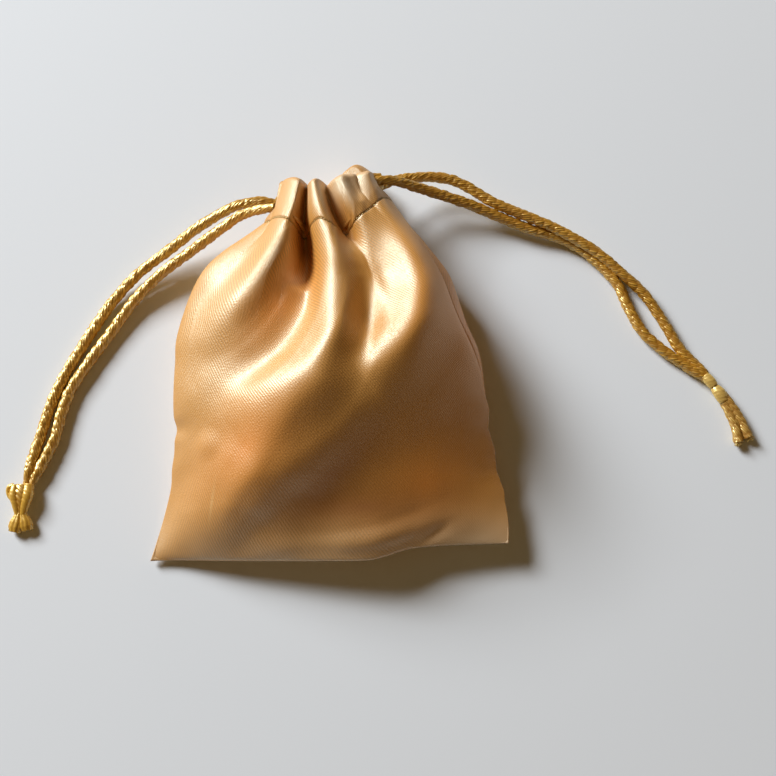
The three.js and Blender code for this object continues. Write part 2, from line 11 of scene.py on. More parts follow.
import bpy
import numpy as np
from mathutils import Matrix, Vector


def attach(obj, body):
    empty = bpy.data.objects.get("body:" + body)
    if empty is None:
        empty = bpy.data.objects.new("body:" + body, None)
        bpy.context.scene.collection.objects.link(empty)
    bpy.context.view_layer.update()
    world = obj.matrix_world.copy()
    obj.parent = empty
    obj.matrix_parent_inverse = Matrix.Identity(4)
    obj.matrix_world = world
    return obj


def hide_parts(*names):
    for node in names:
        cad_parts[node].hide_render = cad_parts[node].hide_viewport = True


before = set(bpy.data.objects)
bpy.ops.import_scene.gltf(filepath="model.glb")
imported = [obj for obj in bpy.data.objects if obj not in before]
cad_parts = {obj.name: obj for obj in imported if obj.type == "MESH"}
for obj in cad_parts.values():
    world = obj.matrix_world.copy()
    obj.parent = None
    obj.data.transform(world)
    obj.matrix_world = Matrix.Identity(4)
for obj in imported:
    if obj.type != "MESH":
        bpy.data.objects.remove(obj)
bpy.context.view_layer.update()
bpy.ops.object.select_all(action="DESELECT")
MM = 0.001  # the tables below are in millimetres, and the scene is in metres
print("nodes:", ", ".join(sorted(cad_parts)))

# %% [markdown]
# ## The camera
# The picture was taken from almost straight above, a little from the bottom edge's side. The camera comes
# first, because everything else is compared with the picture through it. It looks at a point a little right
# of the pouch's middle, so that both cords are in view.

# %% Make the camera
CAMERA_EYE = Vector((16.0, -69.4, 293.4)) * MM
CAMERA_TARGET = Vector((16.0, -7.0, 0.0)) * MM
CAMERA_ANGLE = math.radians(40.0)


def make_camera():
    bpy.ops.object.camera_add(location=CAMERA_EYE)
    camera = bpy.context.object
    camera.name = "photo_camera"
    camera.data.angle = CAMERA_ANGLE
    camera.rotation_euler = (CAMERA_TARGET - CAMERA_EYE).to_track_quat("-Z", "Y").to_euler()
    bpy.context.scene.camera = camera
    return camera


photo_camera = make_camera()
print("camera", tuple(round(x, 4) for x in photo_camera.location))

# %% [markdown]
# ## Where the cords run
# Each drawstring goes once round the mouth inside the casings and comes out doubled. Its two free strands
# rise out of the slit at the end of the neck, come down to the table and meet in a knot. The left strands lie
# side by side and draw together near their knot. The right ones lie close together most of the way, as in
# the picture. All four start from the routes of the solids and leave them by a few millimetres.

# %% The routes of the four free strands
ROUTES = {
    "left_cord_front": [
        (-15, 40.4, 16.4), (-19, 40.6, 14.5), (-25, 39.8, 12), (-30.8, 36.6, 10),
        (-38.9, 31.5, 7), (-48.7, 24.9, 4.4), (-55.6, 18.3, 2.6), (-61.8, 9.5, 1.7), (-68, 0.2, 1.7),
        (-73, -8.6, 1.7), (-74.8, -14.6, 1.7), (-76.4, -22, 1.7), (-79.4, -29, 1.7), (-81.9, -34.8, 2),
    ],
    "left_cord_back": [
        (-15, 44, 9.6), (-19, 44.5, 10.6), (-25, 43.8, 10.4), (-35.3, 39.3, 8.2), (-45.7, 32.3, 5.4),
        (-55.6, 25, 3.2), (-63.2, 16.3, 1.9), (-69.1, 6.6, 1.7), (-74.4, -3.2, 1.7), (-78, -12.2, 1.7),
        (-80.2, -20.6, 1.7), (-82.2, -28.2, 1.7), (-83.4, -34.8, 2),
    ],
    "right_cord_front": [
        (11, 47.8, 16.4), (15.2, 48.8, 15.6), (19.3, 49, 13.6), (25, 48.5, 10.5), (33.4, 46.9, 7.6),
        (41.9, 44.6, 5.4), (48.6, 42.1, 4), (56.8, 39.1, 3), (65.4, 36.6, 2.2), (71.2, 33.6, 1.8),
        (76.8, 28.8, 1.7), (81.5, 22.8, 1.7), (84.3, 16, 1.7), (88.2, 8.6, 1.7), (94.4, 2.8, 1.7),
        (99.6, -0.8, 1.7), (103.6, -3.8, 1.9), (105.9, -6, 2.2),
    ],
    "right_cord_back": [
        (13, 48.6, 10.6), (17.4, 50.9, 9.8), (22.2, 52.4, 8.6), (27.9, 53.2, 7.4), (33.7, 52.8, 6.6),
        (38, 51.2, 6), (42.3, 48.6, 5.6), (46.6, 46.1, 5.4), (50.9, 44.2, 5.1), (56.4, 42, 4.8),
        (64.6, 38.4, 4.4), (69.4, 35.7, 4.2), (75.6, 31.8, 3.8), (82, 26.2, 3.2), (88.6, 20.1, 2.3),
        (93.7, 12.2, 1.8), (98.6, 3.4, 1.7), (102.2, -0.6, 1.7), (104.8, -3.5, 2), (106.3, -5.6, 2.3),
    ],
}
CORD_DIAMETER = 2.8
RUN_DIAMETER = 2.2
CORD_STEP = 0.25
PLUMP = 1.2  # a slack strand is this much wider than one that is drawn tight
SLACK_FROM = 18.0  # this far from the neck it is fully slack
END_TAPER = 5.0  # over this length a strand narrows into its knot
END_WIDTH = 0.55
ROUTE_SAMPLES = 2000


def walk(points):
    """How far each point of a line lies from its start."""
    return np.concatenate([[0], np.cumsum(np.linalg.norm(np.diff(points, axis=0), axis=1))])


def hermite(places, heights, slopes, value):
    """A smooth curve through heights at places, with the given slopes there."""
    value = np.clip(value, places[0], places[-1])
    right = np.clip(np.searchsorted(places, value), 1, len(places) - 1)
    left = right - 1
    span = places[right] - places[left]
    t = (value - places[left]) / span
    rise = heights[right] - heights[left]
    start, end = slopes[left] * span, slopes[right] * span
    bend = start + end - 2 * rise
    curve = 3 * rise - 2 * start - end
    return ((bend * t + curve) * t + start) * t + heights[left]


def smooth_route(points, step):
    """Points every step along a smooth curve through a route's points, and how far along it they lie."""
    points = np.asarray(points, float)
    places = walk(points)
    slopes = np.gradient(points, places, axis=0)
    fine = np.linspace(0, places[-1], ROUTE_SAMPLES)
    dense = np.stack([hermite(places, points[:, k], slopes[:, k], fine) for k in range(3)], axis=1)
    walked = walk(dense)
    wanted = np.linspace(0, walked[-1], max(2, round(walked[-1] / step) + 1))
    return np.stack([np.interp(wanted, walked, dense[:, k]) for k in range(3)], axis=1), wanted


strand_paths = {name: smooth_route(route, CORD_STEP) for name, route in ROUTES.items()}
for name, (path, walked) in strand_paths.items():
    print(name, f"{walked[-1]:.1f} mm long")

# %% [markdown]
# ## Twisted cords
# The cord is twisted from many silky plies, which run round it at a low angle. Where they dive under each
# other, each shows as a row of small lens shapes. Single plies as separate tubes would be heavy and would cut
# into each other, so one tube follows the route, and a pattern of lenses pushes its surface in and out. The
# height of the pattern is stored on the mesh, so the finish can paint shade into the grooves.

# %% Tubes that follow a path
PLIES = 13
TWIST_LENGTH = 17.0  # length of one full turn of a ply
LENS_LENGTH = 2.5  # length of one lens along the cord
LENS_LOWEST = 0.35  # the flattest lens, where the highest is 1
GROOVE_DEPTH = 0.24  # depth of the grooves as a share of the radius
PLY_WANDER = ((0.3, 4.1), (0.2, 1.7))  # how far the plies wander sideways, and over which lengths
TUBE_SIDES = 78
UV_LENGTH = 100  # millimetres of cord or cloth in one unit of the UV map
chance = np.random.default_rng(7)
LENS_STARTS = chance.uniform(0, 1, PLIES)
LENS_HEIGHTS = chance.uniform(LENS_LOWEST, 1, (PLIES, 64))


def smoothstep(value, low, high):
    t = np.clip((value - low) / (high - low), 0, 1)
    return t * t * (3 - 2 * t)


def cord_relief(turn, walked):
    """Height of the plies: 0 in the grooves, 1 on the crowns. turn goes from 0 to 1 round the cord."""
    wander = sum(size * np.sin(walked / length) for size, length in PLY_WANDER)
    place = PLIES * (turn + walked / TWIST_LENGTH) + wander
    ply = np.floor(place).astype(int) % PLIES
    lens = walked / LENS_LENGTH + LENS_STARTS[ply]
    highest = LENS_HEIGHTS[ply, np.floor(lens).astype(int) % LENS_HEIGHTS.shape[1]]
    across = np.abs(np.sin(np.pi * place)) ** 0.7
    return across * highest * np.abs(np.sin(np.pi * lens)) ** 0.4


def transported_frames(path):
    """Two directions square to a path at each of its points, turned as little as possible on the way."""
    ahead = np.gradient(path, axis=0)
    ahead /= np.linalg.norm(ahead, axis=1, keepdims=True)
    side = np.cross(ahead[0], (0, 0, 1) if abs(ahead[0][2]) < 0.9 else (1, 0, 0))
    sides = []
    for direction in ahead:
        side = side - direction * np.dot(side, direction)
        side = side / np.linalg.norm(side)
        sides.append(side)
    sides = np.array(sides)
    return sides, np.cross(ahead, sides)


def tube_arrays(path, walked, radius, relief=None, flat=1.0, sides=TUBE_SIDES):
    """Corners, faces, UVs and heights of a closed tube. radius and flat may change along the path."""
    turn = np.arange(sides) / sides
    rings = len(path)
    height = np.ones((rings, sides)) if relief is None else relief(turn[None, :], walked[:, None])
    radius, flat = (np.broadcast_to(np.asarray(value, float), (rings,)) for value in (radius, flat))
    out = radius[:, None] * (1 - GROOVE_DEPTH * (1 - height))
    side, up = transported_frames(path)
    angle = 2 * np.pi * turn[None, :]
    wide = (np.cos(angle) * out)[..., None] * side[:, None, :]
    tall = (np.sin(angle) * out * flat[:, None])[..., None] * up[:, None, :]
    corners = np.vstack([(path[:, None, :] + wide + tall).reshape(-1, 3), path[0], path[-1]])
    ring = np.arange(rings - 1)[:, None] * sides
    here = np.arange(sides)[None, :]
    there = (here + 1) % sides
    quads = np.stack([ring + here, ring + there, ring + sides + there, ring + sides + here], axis=-1)
    first, last, end = rings * sides, rings * sides + 1, (rings - 1) * sides
    caps = [[first, int(b), int(a)] for a, b in zip(here[0], there[0])]
    caps += [[last, end + int(a), end + int(b)] for a, b in zip(here[0], there[0])]
    lengthwise = walked / UV_LENGTH
    uvs = np.stack([np.tile(turn, rings), np.repeat(lengthwise, sides)], axis=1)
    uvs = np.vstack([uvs, [0.5, 0], [0.5, lengthwise[-1]]])
    heights = np.concatenate([height.reshape(-1), [0.5, 0.5]])
    return corners, quads.reshape(-1, 4).tolist() + caps, uvs, heights


def mesh_piece(name, corners, faces, uvs, heights):
    """A smooth-shaded mesh from arrays in millimetres, with a UV map and the stored height."""
    mesh = bpy.data.meshes.new(name)
    mesh.from_pydata((np.asarray(corners) * MM).tolist(), [], faces)
    mesh.update()
    loops = np.zeros(len(mesh.loops), dtype=np.int32)
    mesh.loops.foreach_get("vertex_index", loops)
    layer = mesh.uv_layers.new(name="cloth")
    layer.data.foreach_set("uv", np.asarray(uvs, np.float32)[loops].reshape(-1))
    stored = mesh.attributes.new("height", "FLOAT", "POINT")
    stored.data.foreach_set("value", np.asarray(heights, np.float32))
    piece = bpy.data.objects.new(name, mesh)
    bpy.context.collection.objects.link(piece)
    bpy.ops.object.select_all(action="DESELECT")
    piece.select_set(True)
    bpy.context.view_layer.objects.active = piece
    bpy.ops.object.shade_smooth()
    return piece


def join_arrays(parts):
    """Several sets of mesh arrays as one."""
    offset, corners, faces, uvs, heights = 0, [], [], [], []
    for part_corners, part_faces, part_uvs, part_heights in parts:
        faces += [[corner + offset for corner in face] for face in part_faces]
        corners.append(part_corners)
        uvs.append(part_uvs)
        heights.append(part_heights)
        offset += len(part_corners)
    return np.vstack(corners), faces, np.vstack(uvs), np.concatenate(heights)


# %% Make the four free strands
strands = {}
for name, (path, walked) in strand_paths.items():
    narrow = smoothstep(walked[-1] - walked, 0, END_TAPER)
    slack = 1 + (PLUMP - 1) * smoothstep(walked, 0, SLACK_FROM)
    radius = CORD_DIAMETER / 2 * slack * (END_WIDTH + (1 - END_WIDTH) * narrow)
    strand = mesh_piece(name + "_twist", *tube_arrays(path, walked, radius, cord_relief))
    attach(strand, "root")
    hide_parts(name)
    strands[name] = strand
print("strands:", {name: len(piece.data.polygons) for name, piece in strands.items()})

# %% [markdown]
# ## The left knot
# The left strands are tied in one tight overhand knot. Seen from above, the pulled cord makes two smooth
# bands beside a twisted middle, with a small loop curling out at the upper left. Below the waist the cut ends
# fan out in a pleated skirt of threads. A few tubes along short paths say this and stay easy to change: each
# band is a tube whose width and flatness change on the way.

# %% Tie the left knot
WRINKLE_LENGTH = 0.9  # from one cross wrinkle of a pulled band to the next
PLEATS = 9
TWIST_STRANDS = 7
TWIST_PITCH = 9.0  # length of one full turn of the strands in the knot
FRAY_THREADS = 22  # loose threads in each cut end
FRAY_RADIUS = 0.14


# The heights of these reliefs also set the colour: the low places take the cord's groove colour, as painted
# shade.
def band_relief(turn, walked):
    """Soft, uneven cross wrinkles on a band that is pulled tight."""
    slant = walked + 0.5 * np.cos(2 * np.pi * turn)
    return 0.88 + 0.07 * np.sin(2 * np.pi * slant / WRINKLE_LENGTH) + 0.05 * np.sin(slant * 4.1)


def pleat_relief(turn, walked):
    """Folds that run along a skirt of threads."""
    return 0.3 + 0.7 * np.abs(np.sin(np.pi * PLEATS * turn + 0.3 * np.sin(walked))) ** 0.8


def twist_relief(turn, walked):
    """Strands that wind together deep in a knot: their low heights give them painted shade."""
    return 0.1 + 0.5 * np.abs(np.sin(np.pi * TWIST_STRANDS * (turn + walked / TWIST_PITCH)))


def band(points, widths, flats, relief=band_relief, sides=40, step=0.2):
    """A tube along a few points, with widths and flatness given at equal steps along it."""
    path, walked = smooth_route(points, step)
    share = walked / walked[-1]
    radius = np.interp(share, np.linspace(0, 1, len(widths)), widths) / 2
    flat = np.interp(share, np.linspace(0, 1, len(flats)), flats)
    return tube_arrays(path, walked, radius, relief, flat, sides)


def frayed_end(start, ends, height):
    """Loose threads from one point to a spread of end points, given by the two outer ones."""
    widths = (2 * FRAY_RADIUS, 2.2 * FRAY_RADIUS, FRAY_RADIUS)
    parts = []
    for share in np.linspace(0, 1, FRAY_THREADS):
        tip = np.array(ends[0]) * (1 - share) + np.array(ends[1]) * share
        tip = tip + chance.normal(0, (0.15, 0.25, 0.0)) + (0, 0, chance.uniform(0.2, height))
        root = np.array(start) + (0.5 * (share - 0.5), 0, chance.uniform(-0.4, 0.5))
        bow = (root + tip) / 2 + (0.9 * (0.5 - share), 0, 0.5 * chance.uniform(0, 1))
        parts.append(band([root, bow, tip], widths, (1,), None, 6, 0.8))
    return join_arrays(parts)


LEFT_KNOT_PARTS = [
    # the tight body, the small loop that curls out of it, and the two smooth bands along its sides
    band(
        [(-83.9, -34.6, 2.1), (-84.1, -38.4, 2.2), (-84.2, -42.8, 1.9)],
        (4.8, 5.4, 4.6, 3.4, 2.6), (0.75,), twist_relief,
    ),
    band(
        [
            (-86.4, -34.9, 2.6), (-87.5, -35.2, 2.7), (-87.9, -36.3, 2.6), (-87.5, -37.6, 2.4),
            (-86.4, -38.6, 2.3),
        ],
        (1.6, 1.2, 1, 1.2, 1.6), (1,), None,
    ),
    band(
        [(-86, -34.7, 2.6), (-86.2, -37.2, 2.9), (-85.5, -40.2, 2.6), (-84.9, -43, 2)],
        (2, 2.4, 2, 1.5), (1,),
    ),
    band(
        [(-82.3, -34.5, 2.4), (-82.4, -37.4, 2.7), (-83, -40.2, 2.5), (-83.6, -43, 2)],
        (3, 3.2, 2.6, 1.8), (0.9,),
    ),
    # the two cut ends, pleated fans with loose threads on top
    band(
        [(-84.6, -42.2, 2), (-85, -44.2, 1.8), (-85.6, -47.4, 1.4)],
        (1.9, 2.8, 3.9, 4.2, 3.2), (0.9, 0.7, 0.6), pleat_relief,
    ),
    band(
        [(-83.7, -42.2, 2), (-83, -44.2, 1.8), (-82.3, -47, 1.4)],
        (1.9, 2.7, 3.7, 4, 3), (0.9, 0.7, 0.6), pleat_relief,
    ),
    frayed_end((-84.7, -42.8, 2.0), [(-87.2, -47.0, 0.6), (-84.2, -47.6, 0.6)], 1.6),
    frayed_end((-83.7, -42.8, 2.0), [(-83.6, -47.2, 0.6), (-80.8, -46.4, 0.6)], 1.6),
]
left_knot = mesh_piece("left_knot_tied", *join_arrays(LEFT_KNOT_PARTS))
print("left knot", len(left_knot.data.polygons), "faces")

# %% [markdown]
# ## The right knot
# The right strands are held by a tight turn of cord, smooth and shiny where it is pulled flat. A second
# smooth bulge follows, and then the two ends lie side by side, twisted to the cut.

# %% Tie the right knot
RIGHT_KNOT_PARTS = [
    # the turn and the smooth bulge
    band([(104.7, -4.0, 2.1), (105.8, -5.3, 2.3), (107.0, -6.9, 2.2)], (2.8, 3.1, 3.1, 2.7), (0.9,)),
    band([(106.9, -6.9, 2.0), (108.2, -8.6, 2.3), (109.7, -11.2, 2.0)], (2.2, 3.2, 3.6, 3.5, 2.9), (0.8,)),
    # the two ends
    band(
        [(108.6, -9.2, 1.9), (110.8, -13.8, 1.7), (112.4, -18.4, 1.6), (113.1, -22.8, 1.6)],
        (2.6, 2.9, 2.8, 3.1), (1,), cord_relief, TUBE_SIDES,
    ),
    band(
        [(109.5, -9, 1.9), (112.2, -13.4, 1.8), (114.5, -17.8, 1.7), (115.9, -21.4, 1.6)],
        (2.6, 2.9, 2.8, 3.1), (1,), cord_relief, TUBE_SIDES,
    ),
    frayed_end((112.6, -21.4, 1.6), [(111.8, -23.8, 0.4), (114.2, -23.2, 0.4)], 2.0),
    frayed_end((115.7, -20.4, 1.6), [(115.4, -22.6, 0.4), (117.6, -21.4, 0.4)], 2.0),
]
right_knot = mesh_piece("right_knot_tied", *join_arrays(RIGHT_KNOT_PARTS))
for knot, node in ((left_knot, "left_knot"), (right_knot, "right_knot")):
    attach(knot, "root")
    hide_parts(node)
print("right knot", len(right_knot.data.polygons), "faces")

for name, strand in strands.items():
    path, walked = strand_paths[name]
print("cords declared:", len(strands))

# %% [markdown]
# ## How the cloth lies
# The pouch was filled and laid down, so its cloth is a cushion with a flat underside and a neck of soft
# rolls. Cloth simulation would give folds, but not these folds. The tables say where the seam runs, how high
# the cloth arches between the seams, and where each roll and dent of this pouch lies. They start from the
# plain panels and follow the picture more closely. Each fold is a line on the cloth with a height, a width to
# each side and a roundness, because a drawn neck has round rolls with narrow creases between them.

# %% The tables of the cloth


def table(columns, *rows):
    """A table with named columns, as arrays."""
    return dict(zip(columns, np.array(rows, float).T))


# the seam from the bottom edge to the stitch line of the casing, in equal steps
SEAM = table(
    ("left_x", "left_y", "left_z", "right_x", "right_y", "right_z"),
    (-48.25, -55.2, 1.6, 48.25, -50.8, 1.6),
    (-45, -44.5, 3, 48, -43.5, 4),
    (-42.4, -34, 6, 46, -33.5, 7.5),
    (-41.6, -23.4, 9, 43.8, -23.4, 10.5),
    (-42, -13, 11, 42.4, -13.2, 12.5),
    (-41.7, -2.4, 12, 39.9, -2.8, 16),
    (-40.3, 9.2, 13, 34.6, 9, 18),
    (-33.7, 23.8, 14, 28.6, 24, 17),
    (-18.5, 36, 13, 17.5, 42.6, 13),
)

# the cloth between the seams, in the same steps: peak says how far across its crown lies
ARCHES = table(
    ("crown", "floor", "square", "round", "bulge", "peak"),
    (8, 0, 1.6, 1, 0, -0.62),
    (14, 0, 1.35, 1, 0, -0.56),
    (23.5, 0, 1.3, 1, 0, -0.4),
    (29, 0, 1.35, 0.95, 0.3, -0.22),
    (31.5, 0, 1.5, 0.85, 1.4, 0),
    (31, 0, 1.8, 0.75, 3.6, 0.22),
    (28.5, 0.4, 2.2, 0.65, 5, 0.3),
    (25, 2, 2.6, 0.5, 5.4, 0.15),
    (22, 4, 3, 0.5, 0, 0),
)

# the drawn neck from its left end to its right end
NECK = table(
    ("across", "stitch", "top", "lean", "back_top", "cord"),
    (-1, 36, 47.4, 1.5, 47.5, 42.2),
    (-0.65, 33.8, 46.8, 1.8, 48, 40.9),
    (-0.36, 31.2, 45.4, 0.5, 48.5, 39.6),
    (-0.1, 32.8, 45.6, -1.2, 49.5, 39),
    (0.14, 31.2, 46.6, -0.8, 52.5, 39),
    (0.32, 31.8, 47.6, -0.5, 56, 40),
    (0.6, 36, 48.2, -0.6, 57.8, 43.2),
    (1, 42.6, 48.6, -2.4, 52, 48.2),
)

# the bottom edge: how far it sags below a straight line, and how far the filling lifts it off the table
BOTTOM = table(
    ("across", "sag", "lift"),
    (-1, 0, 0),
    (-0.5, 1.3, 4.4),
    (0, 2.6, 8.4),
    (0.25, 2.8, 9),
    (0.48, 0.2, 7.5),
    (1, 0, 5.5),
)

# the folds of the front and the back. Most run down from the mouth, with their widths to the left and right.
# The two at the bottom run from left to right, with their widths below in left and above in right.
FOLD = ("x", "y", "height", "left", "right", "round")


def fold_tables(**folds):
    """Folds by name, each as a table of the places along it."""
    return {name: table(FOLD, *rows) for name, rows in folds.items()}


FRONT_FOLDS = fold_tables(
    left_roll=[
        (-8.8, 60, 5.4, 5.6, 2.3, 0.9),
        (-9.6, 38, 5.8, 5.8, 2.5, 0.9),
        (-10.6, 32.6, 6.4, 6, 3.2, 0.8),
        (-12, 27.7, 6.6, 7, 4.8, 0.5),
        (-14.2, 23.1, 6.2, 8, 6.6, 0.2),
        (-17.6, 17.5, 5.4, 9, 8.2, 0),
        (-21.8, 12.2, 4.4, 9.5, 9.5, 0),
        (-27.2, 7.2, 3, 9, 10, 0),
        (-34, 2.4, 1, 8, 9, 0),
        (-41, -1, 0, 8, 9, 0),
    ],
    middle_roll=[
        (-3, 60, 5.6, 3.6, 2.4, 0.9),
        (-2.6, 42, 6, 3.8, 2.6, 0.9),
        (-1.6, 36, 6.6, 4.4, 3, 0.85),
        (-0.6, 32.6, 6.8, 4.8, 3.4, 0.8),
        (0.8, 28.1, 7, 5.6, 5, 0.6),
        (2, 22.9, 6.8, 7, 7.5, 0.3),
        (2.6, 15, 5.6, 8, 9.5, 0.1),
        (2.8, 7.2, 4.9, 8.5, 10, 0),
        (1.8, -1.6, 4.4, 9, 11, 0),
        (-2.6, -8.6, 3.8, 10, 13, 0),
        (-9.6, -14, 2.8, 11, 14, 0),
        (-16.6, -18.2, 1.6, 11, 14, 0),
        (-24, -23, 0, 11, 14, 0),
    ],
    inner_right_roll=[
        (2.6, 60, 4.6, 2.8, 4.4, 0.6),
        (3.4, 45, 5, 3, 4.6, 0.6),
        (4.6, 40, 5, 3.2, 5, 0.5),
        (6.8, 35.5, 4, 3.8, 5.6, 0.4),
        (9.4, 31, 2.6, 4.8, 6.5, 0.2),
        (11.6, 25, 1.2, 5.5, 8, 0),
        (12.6, 18, 0, 6, 9, 0),
    ],
    right_crest=[
        (11.4, 60, 4.2, 8.5, 4.2, 0.4),
        (12.2, 44, 4.2, 8.5, 4.2, 0.4),
        (14.4, 38.3, 3.8, 8.5, 5, 0.3),
        (16.8, 34.1, 3.8, 9, 6, 0.2),
        (20.4, 28.1, 4.5, 10, 8, 0),
        (24.2, 21.4, 5.4, 11, 10, 0),
        (26, 14, 5.6, 11.5, 11, 0),
        (25.2, 6.4, 5.2, 11.5, 12, 0),
        (22, -0.6, 4.2, 11, 12, 0),
        (17, -6.4, 2.4, 10, 12, 0),
        (10, -11.4, 0, 9, 12, 0),
    ],
    right_crease=[
        (-0.8, 47, -0.5, 1.5, 1.6, 0),
        (0, 42, -1.4, 1.8, 2.2, 0),
        (1.8, 37, -2.6, 2.2, 3, 0),
        (4.2, 32, -3.2, 2.6, 3.8, 0),
        (5.6, 27.5, -1.6, 3.2, 4.8, 0),
        (6.6, 21, 0, 3.6, 5.4, 0),
    ],
    casing_dent=[
        (4.8, 46.6, 0, 1.6, 1.8, 0),
        (6.2, 44, -0.9, 2.2, 2.4, 0),
        (7.8, 41.4, -1.1, 2.2, 2.4, 0),
        (9.2, 38.6, 0, 1.8, 2, 0),
    ],
    neck_crease=[
        (-7.6, 44, 0, 1.6, 1.6, 0),
        (-7.2, 34, -4, 2.6, 2, 0),
        (-6.2, 27.5, -7, 4.2, 3, 0),
        (-5.8, 21.5, -5, 5.2, 4, 0),
        (-7, 14, 0, 6, 5, 0),
    ],
    left_pocket=[
        (-5.6, 24, 0, 4, 4, 0),
        (-5.4, 17, -1.6, 6, 5, 0),
        (-6, 10.6, -2.8, 8, 5.2, 0),
        (-8, 4.6, -3.2, 9, 5.4, 0),
        (-12.4, -1.4, -2.8, 9.5, 6, 0),
        (-20, -7.2, -1.6, 9.5, 7, 0),
        (-33, -10, 0, 9, 7, 0),
    ],
    oval_dent=[
        (8.6, 17, 0, 4, 4, 0),
        (10, 11, -1.8, 5, 6, 0),
        (10, 5, -2.8, 6, 6.5, 0),
        (8, -1.5, -1.8, 6.5, 7, 0),
        (5, -7.5, -1, 7, 7.5, 0),
        (1.5, -13, 0, 7, 8, 0),
    ],
    bottom_roll=[
        (-20, -51.6, 0, 2.6, 4, 0),
        (-4, -52.2, 0.8, 2.8, 4.2, 0),
        (9, -51.4, 1.3, 3, 4.6, 0),
        (18, -49.6, 1.6, 3, 5, 0),
        (25, -46.8, 1.3, 2.8, 5, 0),
        (31, -44, 0.5, 2.6, 5, 0),
        (36, -42, 0, 2.6, 5, 0),
    ],
    bottom_crease=[
        (19.6, -54.4, 0, 2.4, 1.8, 0),
        (23, -52.4, -0.9, 2.5, 1.8, 0),
        (26.5, -50, -1.4, 2.6, 1.8, 0),
        (29.5, -48, -0.9, 2.8, 2, 0),
        (33, -46.6, 0, 3, 2.2, 0),
    ],
    filling_edge=[
        (12, -12, 0, 14, 10, 0),
        (5.3, -17.8, 0.4, 14, 10, 0),
        (-0.9, -24.1, 0.8, 14, 9, 0),
        (-8.4, -31.7, 1.2, 13, 8, 0),
        (-15.7, -38.7, 1.4, 12, 7, 0),
        (-23.1, -45.7, 1, 10, 6, 0),
        (-32, -53, 0, 8, 5, 0),
    ],
    hollow_beside_filling=[
        (26, -15, 0, 10, 14, 0),
        (16, -24, -1, 10, 15, 0),
        (9, -31.5, -1.6, 10, 15, 0),
        (1, -39.5, -1.4, 10, 13, 0),
        (-8, -48, 0, 9, 10, 0),
    ],
)
BACK_FOLDS = fold_tables(
    left_roll=[
        (-9, 60, 2.4, 4.4, 4.4, 0.5),
        (-10.5, 32, 2.4, 4.8, 4.8, 0.5),
        (-15, 16, 0, 7, 7, 0),
    ],
    middle_roll=[
        (0.6, 60, 2.4, 4.2, 4.2, 0.5),
        (0.4, 32, 2.4, 4.6, 4.6, 0.5),
        (0, 16, 0, 7, 7, 0),
    ],
    right_roll=[
        (9.6, 60, 2.2, 4, 4, 0.5),
        (10.2, 34, 2.2, 4.6, 4.6, 0.5),
        (14, 18, 0, 7, 7, 0),
    ],
)
print("folds:", len(FRONT_FOLDS), "on the front,", len(BACK_FOLDS), "on the back")

# %% Read the tables as smooth curves
FOLD_SAMPLES = 160
CROWN_ROUND = 0.2  # share of half the width over which a crown is rounded
ROLL_POWER = 0.6  # of a round roll's profile: lower is steeper at its creases


def along(rows, column, share):
    """A table's column at a share of the way through its evenly spaced rows."""
    heights = rows[column]
    places = np.arange(len(heights), dtype=float)
    padded = np.concatenate([heights[:1], heights, heights[-1:]])
    slopes = (padded[2:] - padded[:-2]) / 2
    return hermite(places, heights, slopes, np.asarray(share) * (len(heights) - 1))


def between(rows, key, column, value):
    """A table's column where another column has the given value, level at both ends."""
    order = np.argsort(rows[key])
    places, heights = rows[key][order], rows[column][order]
    slopes = np.zeros(len(places))
    slopes[1:-1] = (heights[2:] - heights[:-2]) / (places[2:] - places[:-2])
    return hermite(places, heights, slopes, np.asarray(value, float))


def lerp(start, end, share):
    return start + (end - start) * share


def fold_line(stations):
    """Close points along a fold, with its height, widths and roundness there."""
    places = walk(np.stack([stations["x"], stations["y"]], axis=1))
    fine = np.linspace(0, places[-1], FOLD_SAMPLES)
    curves = {}
    for name, column in stations.items():
        curves[name] = hermite(places, column, np.gradient(column, places), fine)
    return curves


def fold_height(stations, x, y):
    """Height of one fold: the nearest point of its line says how high and how wide it is there."""
    line = fold_line(stations)
    from_x, from_y = x.reshape(-1, 1) - line["x"], y.reshape(-1, 1) - line["y"]
    nearest = np.argmin(from_x**2 + from_y**2, axis=1)
    ahead_x, ahead_y = np.gradient(line["x"]), np.gradient(line["y"])
    step = np.hypot(ahead_x, ahead_y)[nearest]
    ahead_x, ahead_y = ahead_x[nearest] / step, ahead_y[nearest] / step
    rows = np.arange(len(nearest))
    from_x, from_y = from_x[rows, nearest], from_y[rows, nearest]
    place = nearest + np.clip((from_x * ahead_x + from_y * ahead_y) / step, -0.5, 0.5)
    away = ahead_x * from_y - ahead_y * from_x
    at = {name: np.interp(place, np.arange(FOLD_SAMPLES), column) for name, column in line.items()}
    share = np.minimum(np.abs(away) / np.where(away > 0, at["right"], at["left"]), 1)
    bell = 0.5 + 0.5 * np.cos(np.pi * share)
    profile = lerp(bell, (1 - share**2) ** ROLL_POWER, at["round"])
    return (at["height"] * profile).reshape(x.shape)


def folds_height(folds, x, y):
    return sum(fold_height(stations, x, y) for stations in folds.values())


def leaning(across, peak):
    """Places across as an arch sees them whose crown is moved to one side: still -1 and 1 at its ends."""
    return (across - peak) / np.where(across > peak, 1 - peak, 1 + peak)


def arch(square, rounded, across):
    """1 on the crown and 0 at both ends. A low square gives flat flanks beside a round crown."""
    away = np.hypot(np.minimum(np.abs(across), 1), CROWN_ROUND) - CROWN_ROUND
    away = away / (np.hypot(1, CROWN_ROUND) - CROWN_ROUND)
    return (1 - away**square) ** rounded


print("neck top at its middle:", round(float(between(NECK, "across", "top", 0.0)), 1), "mm")

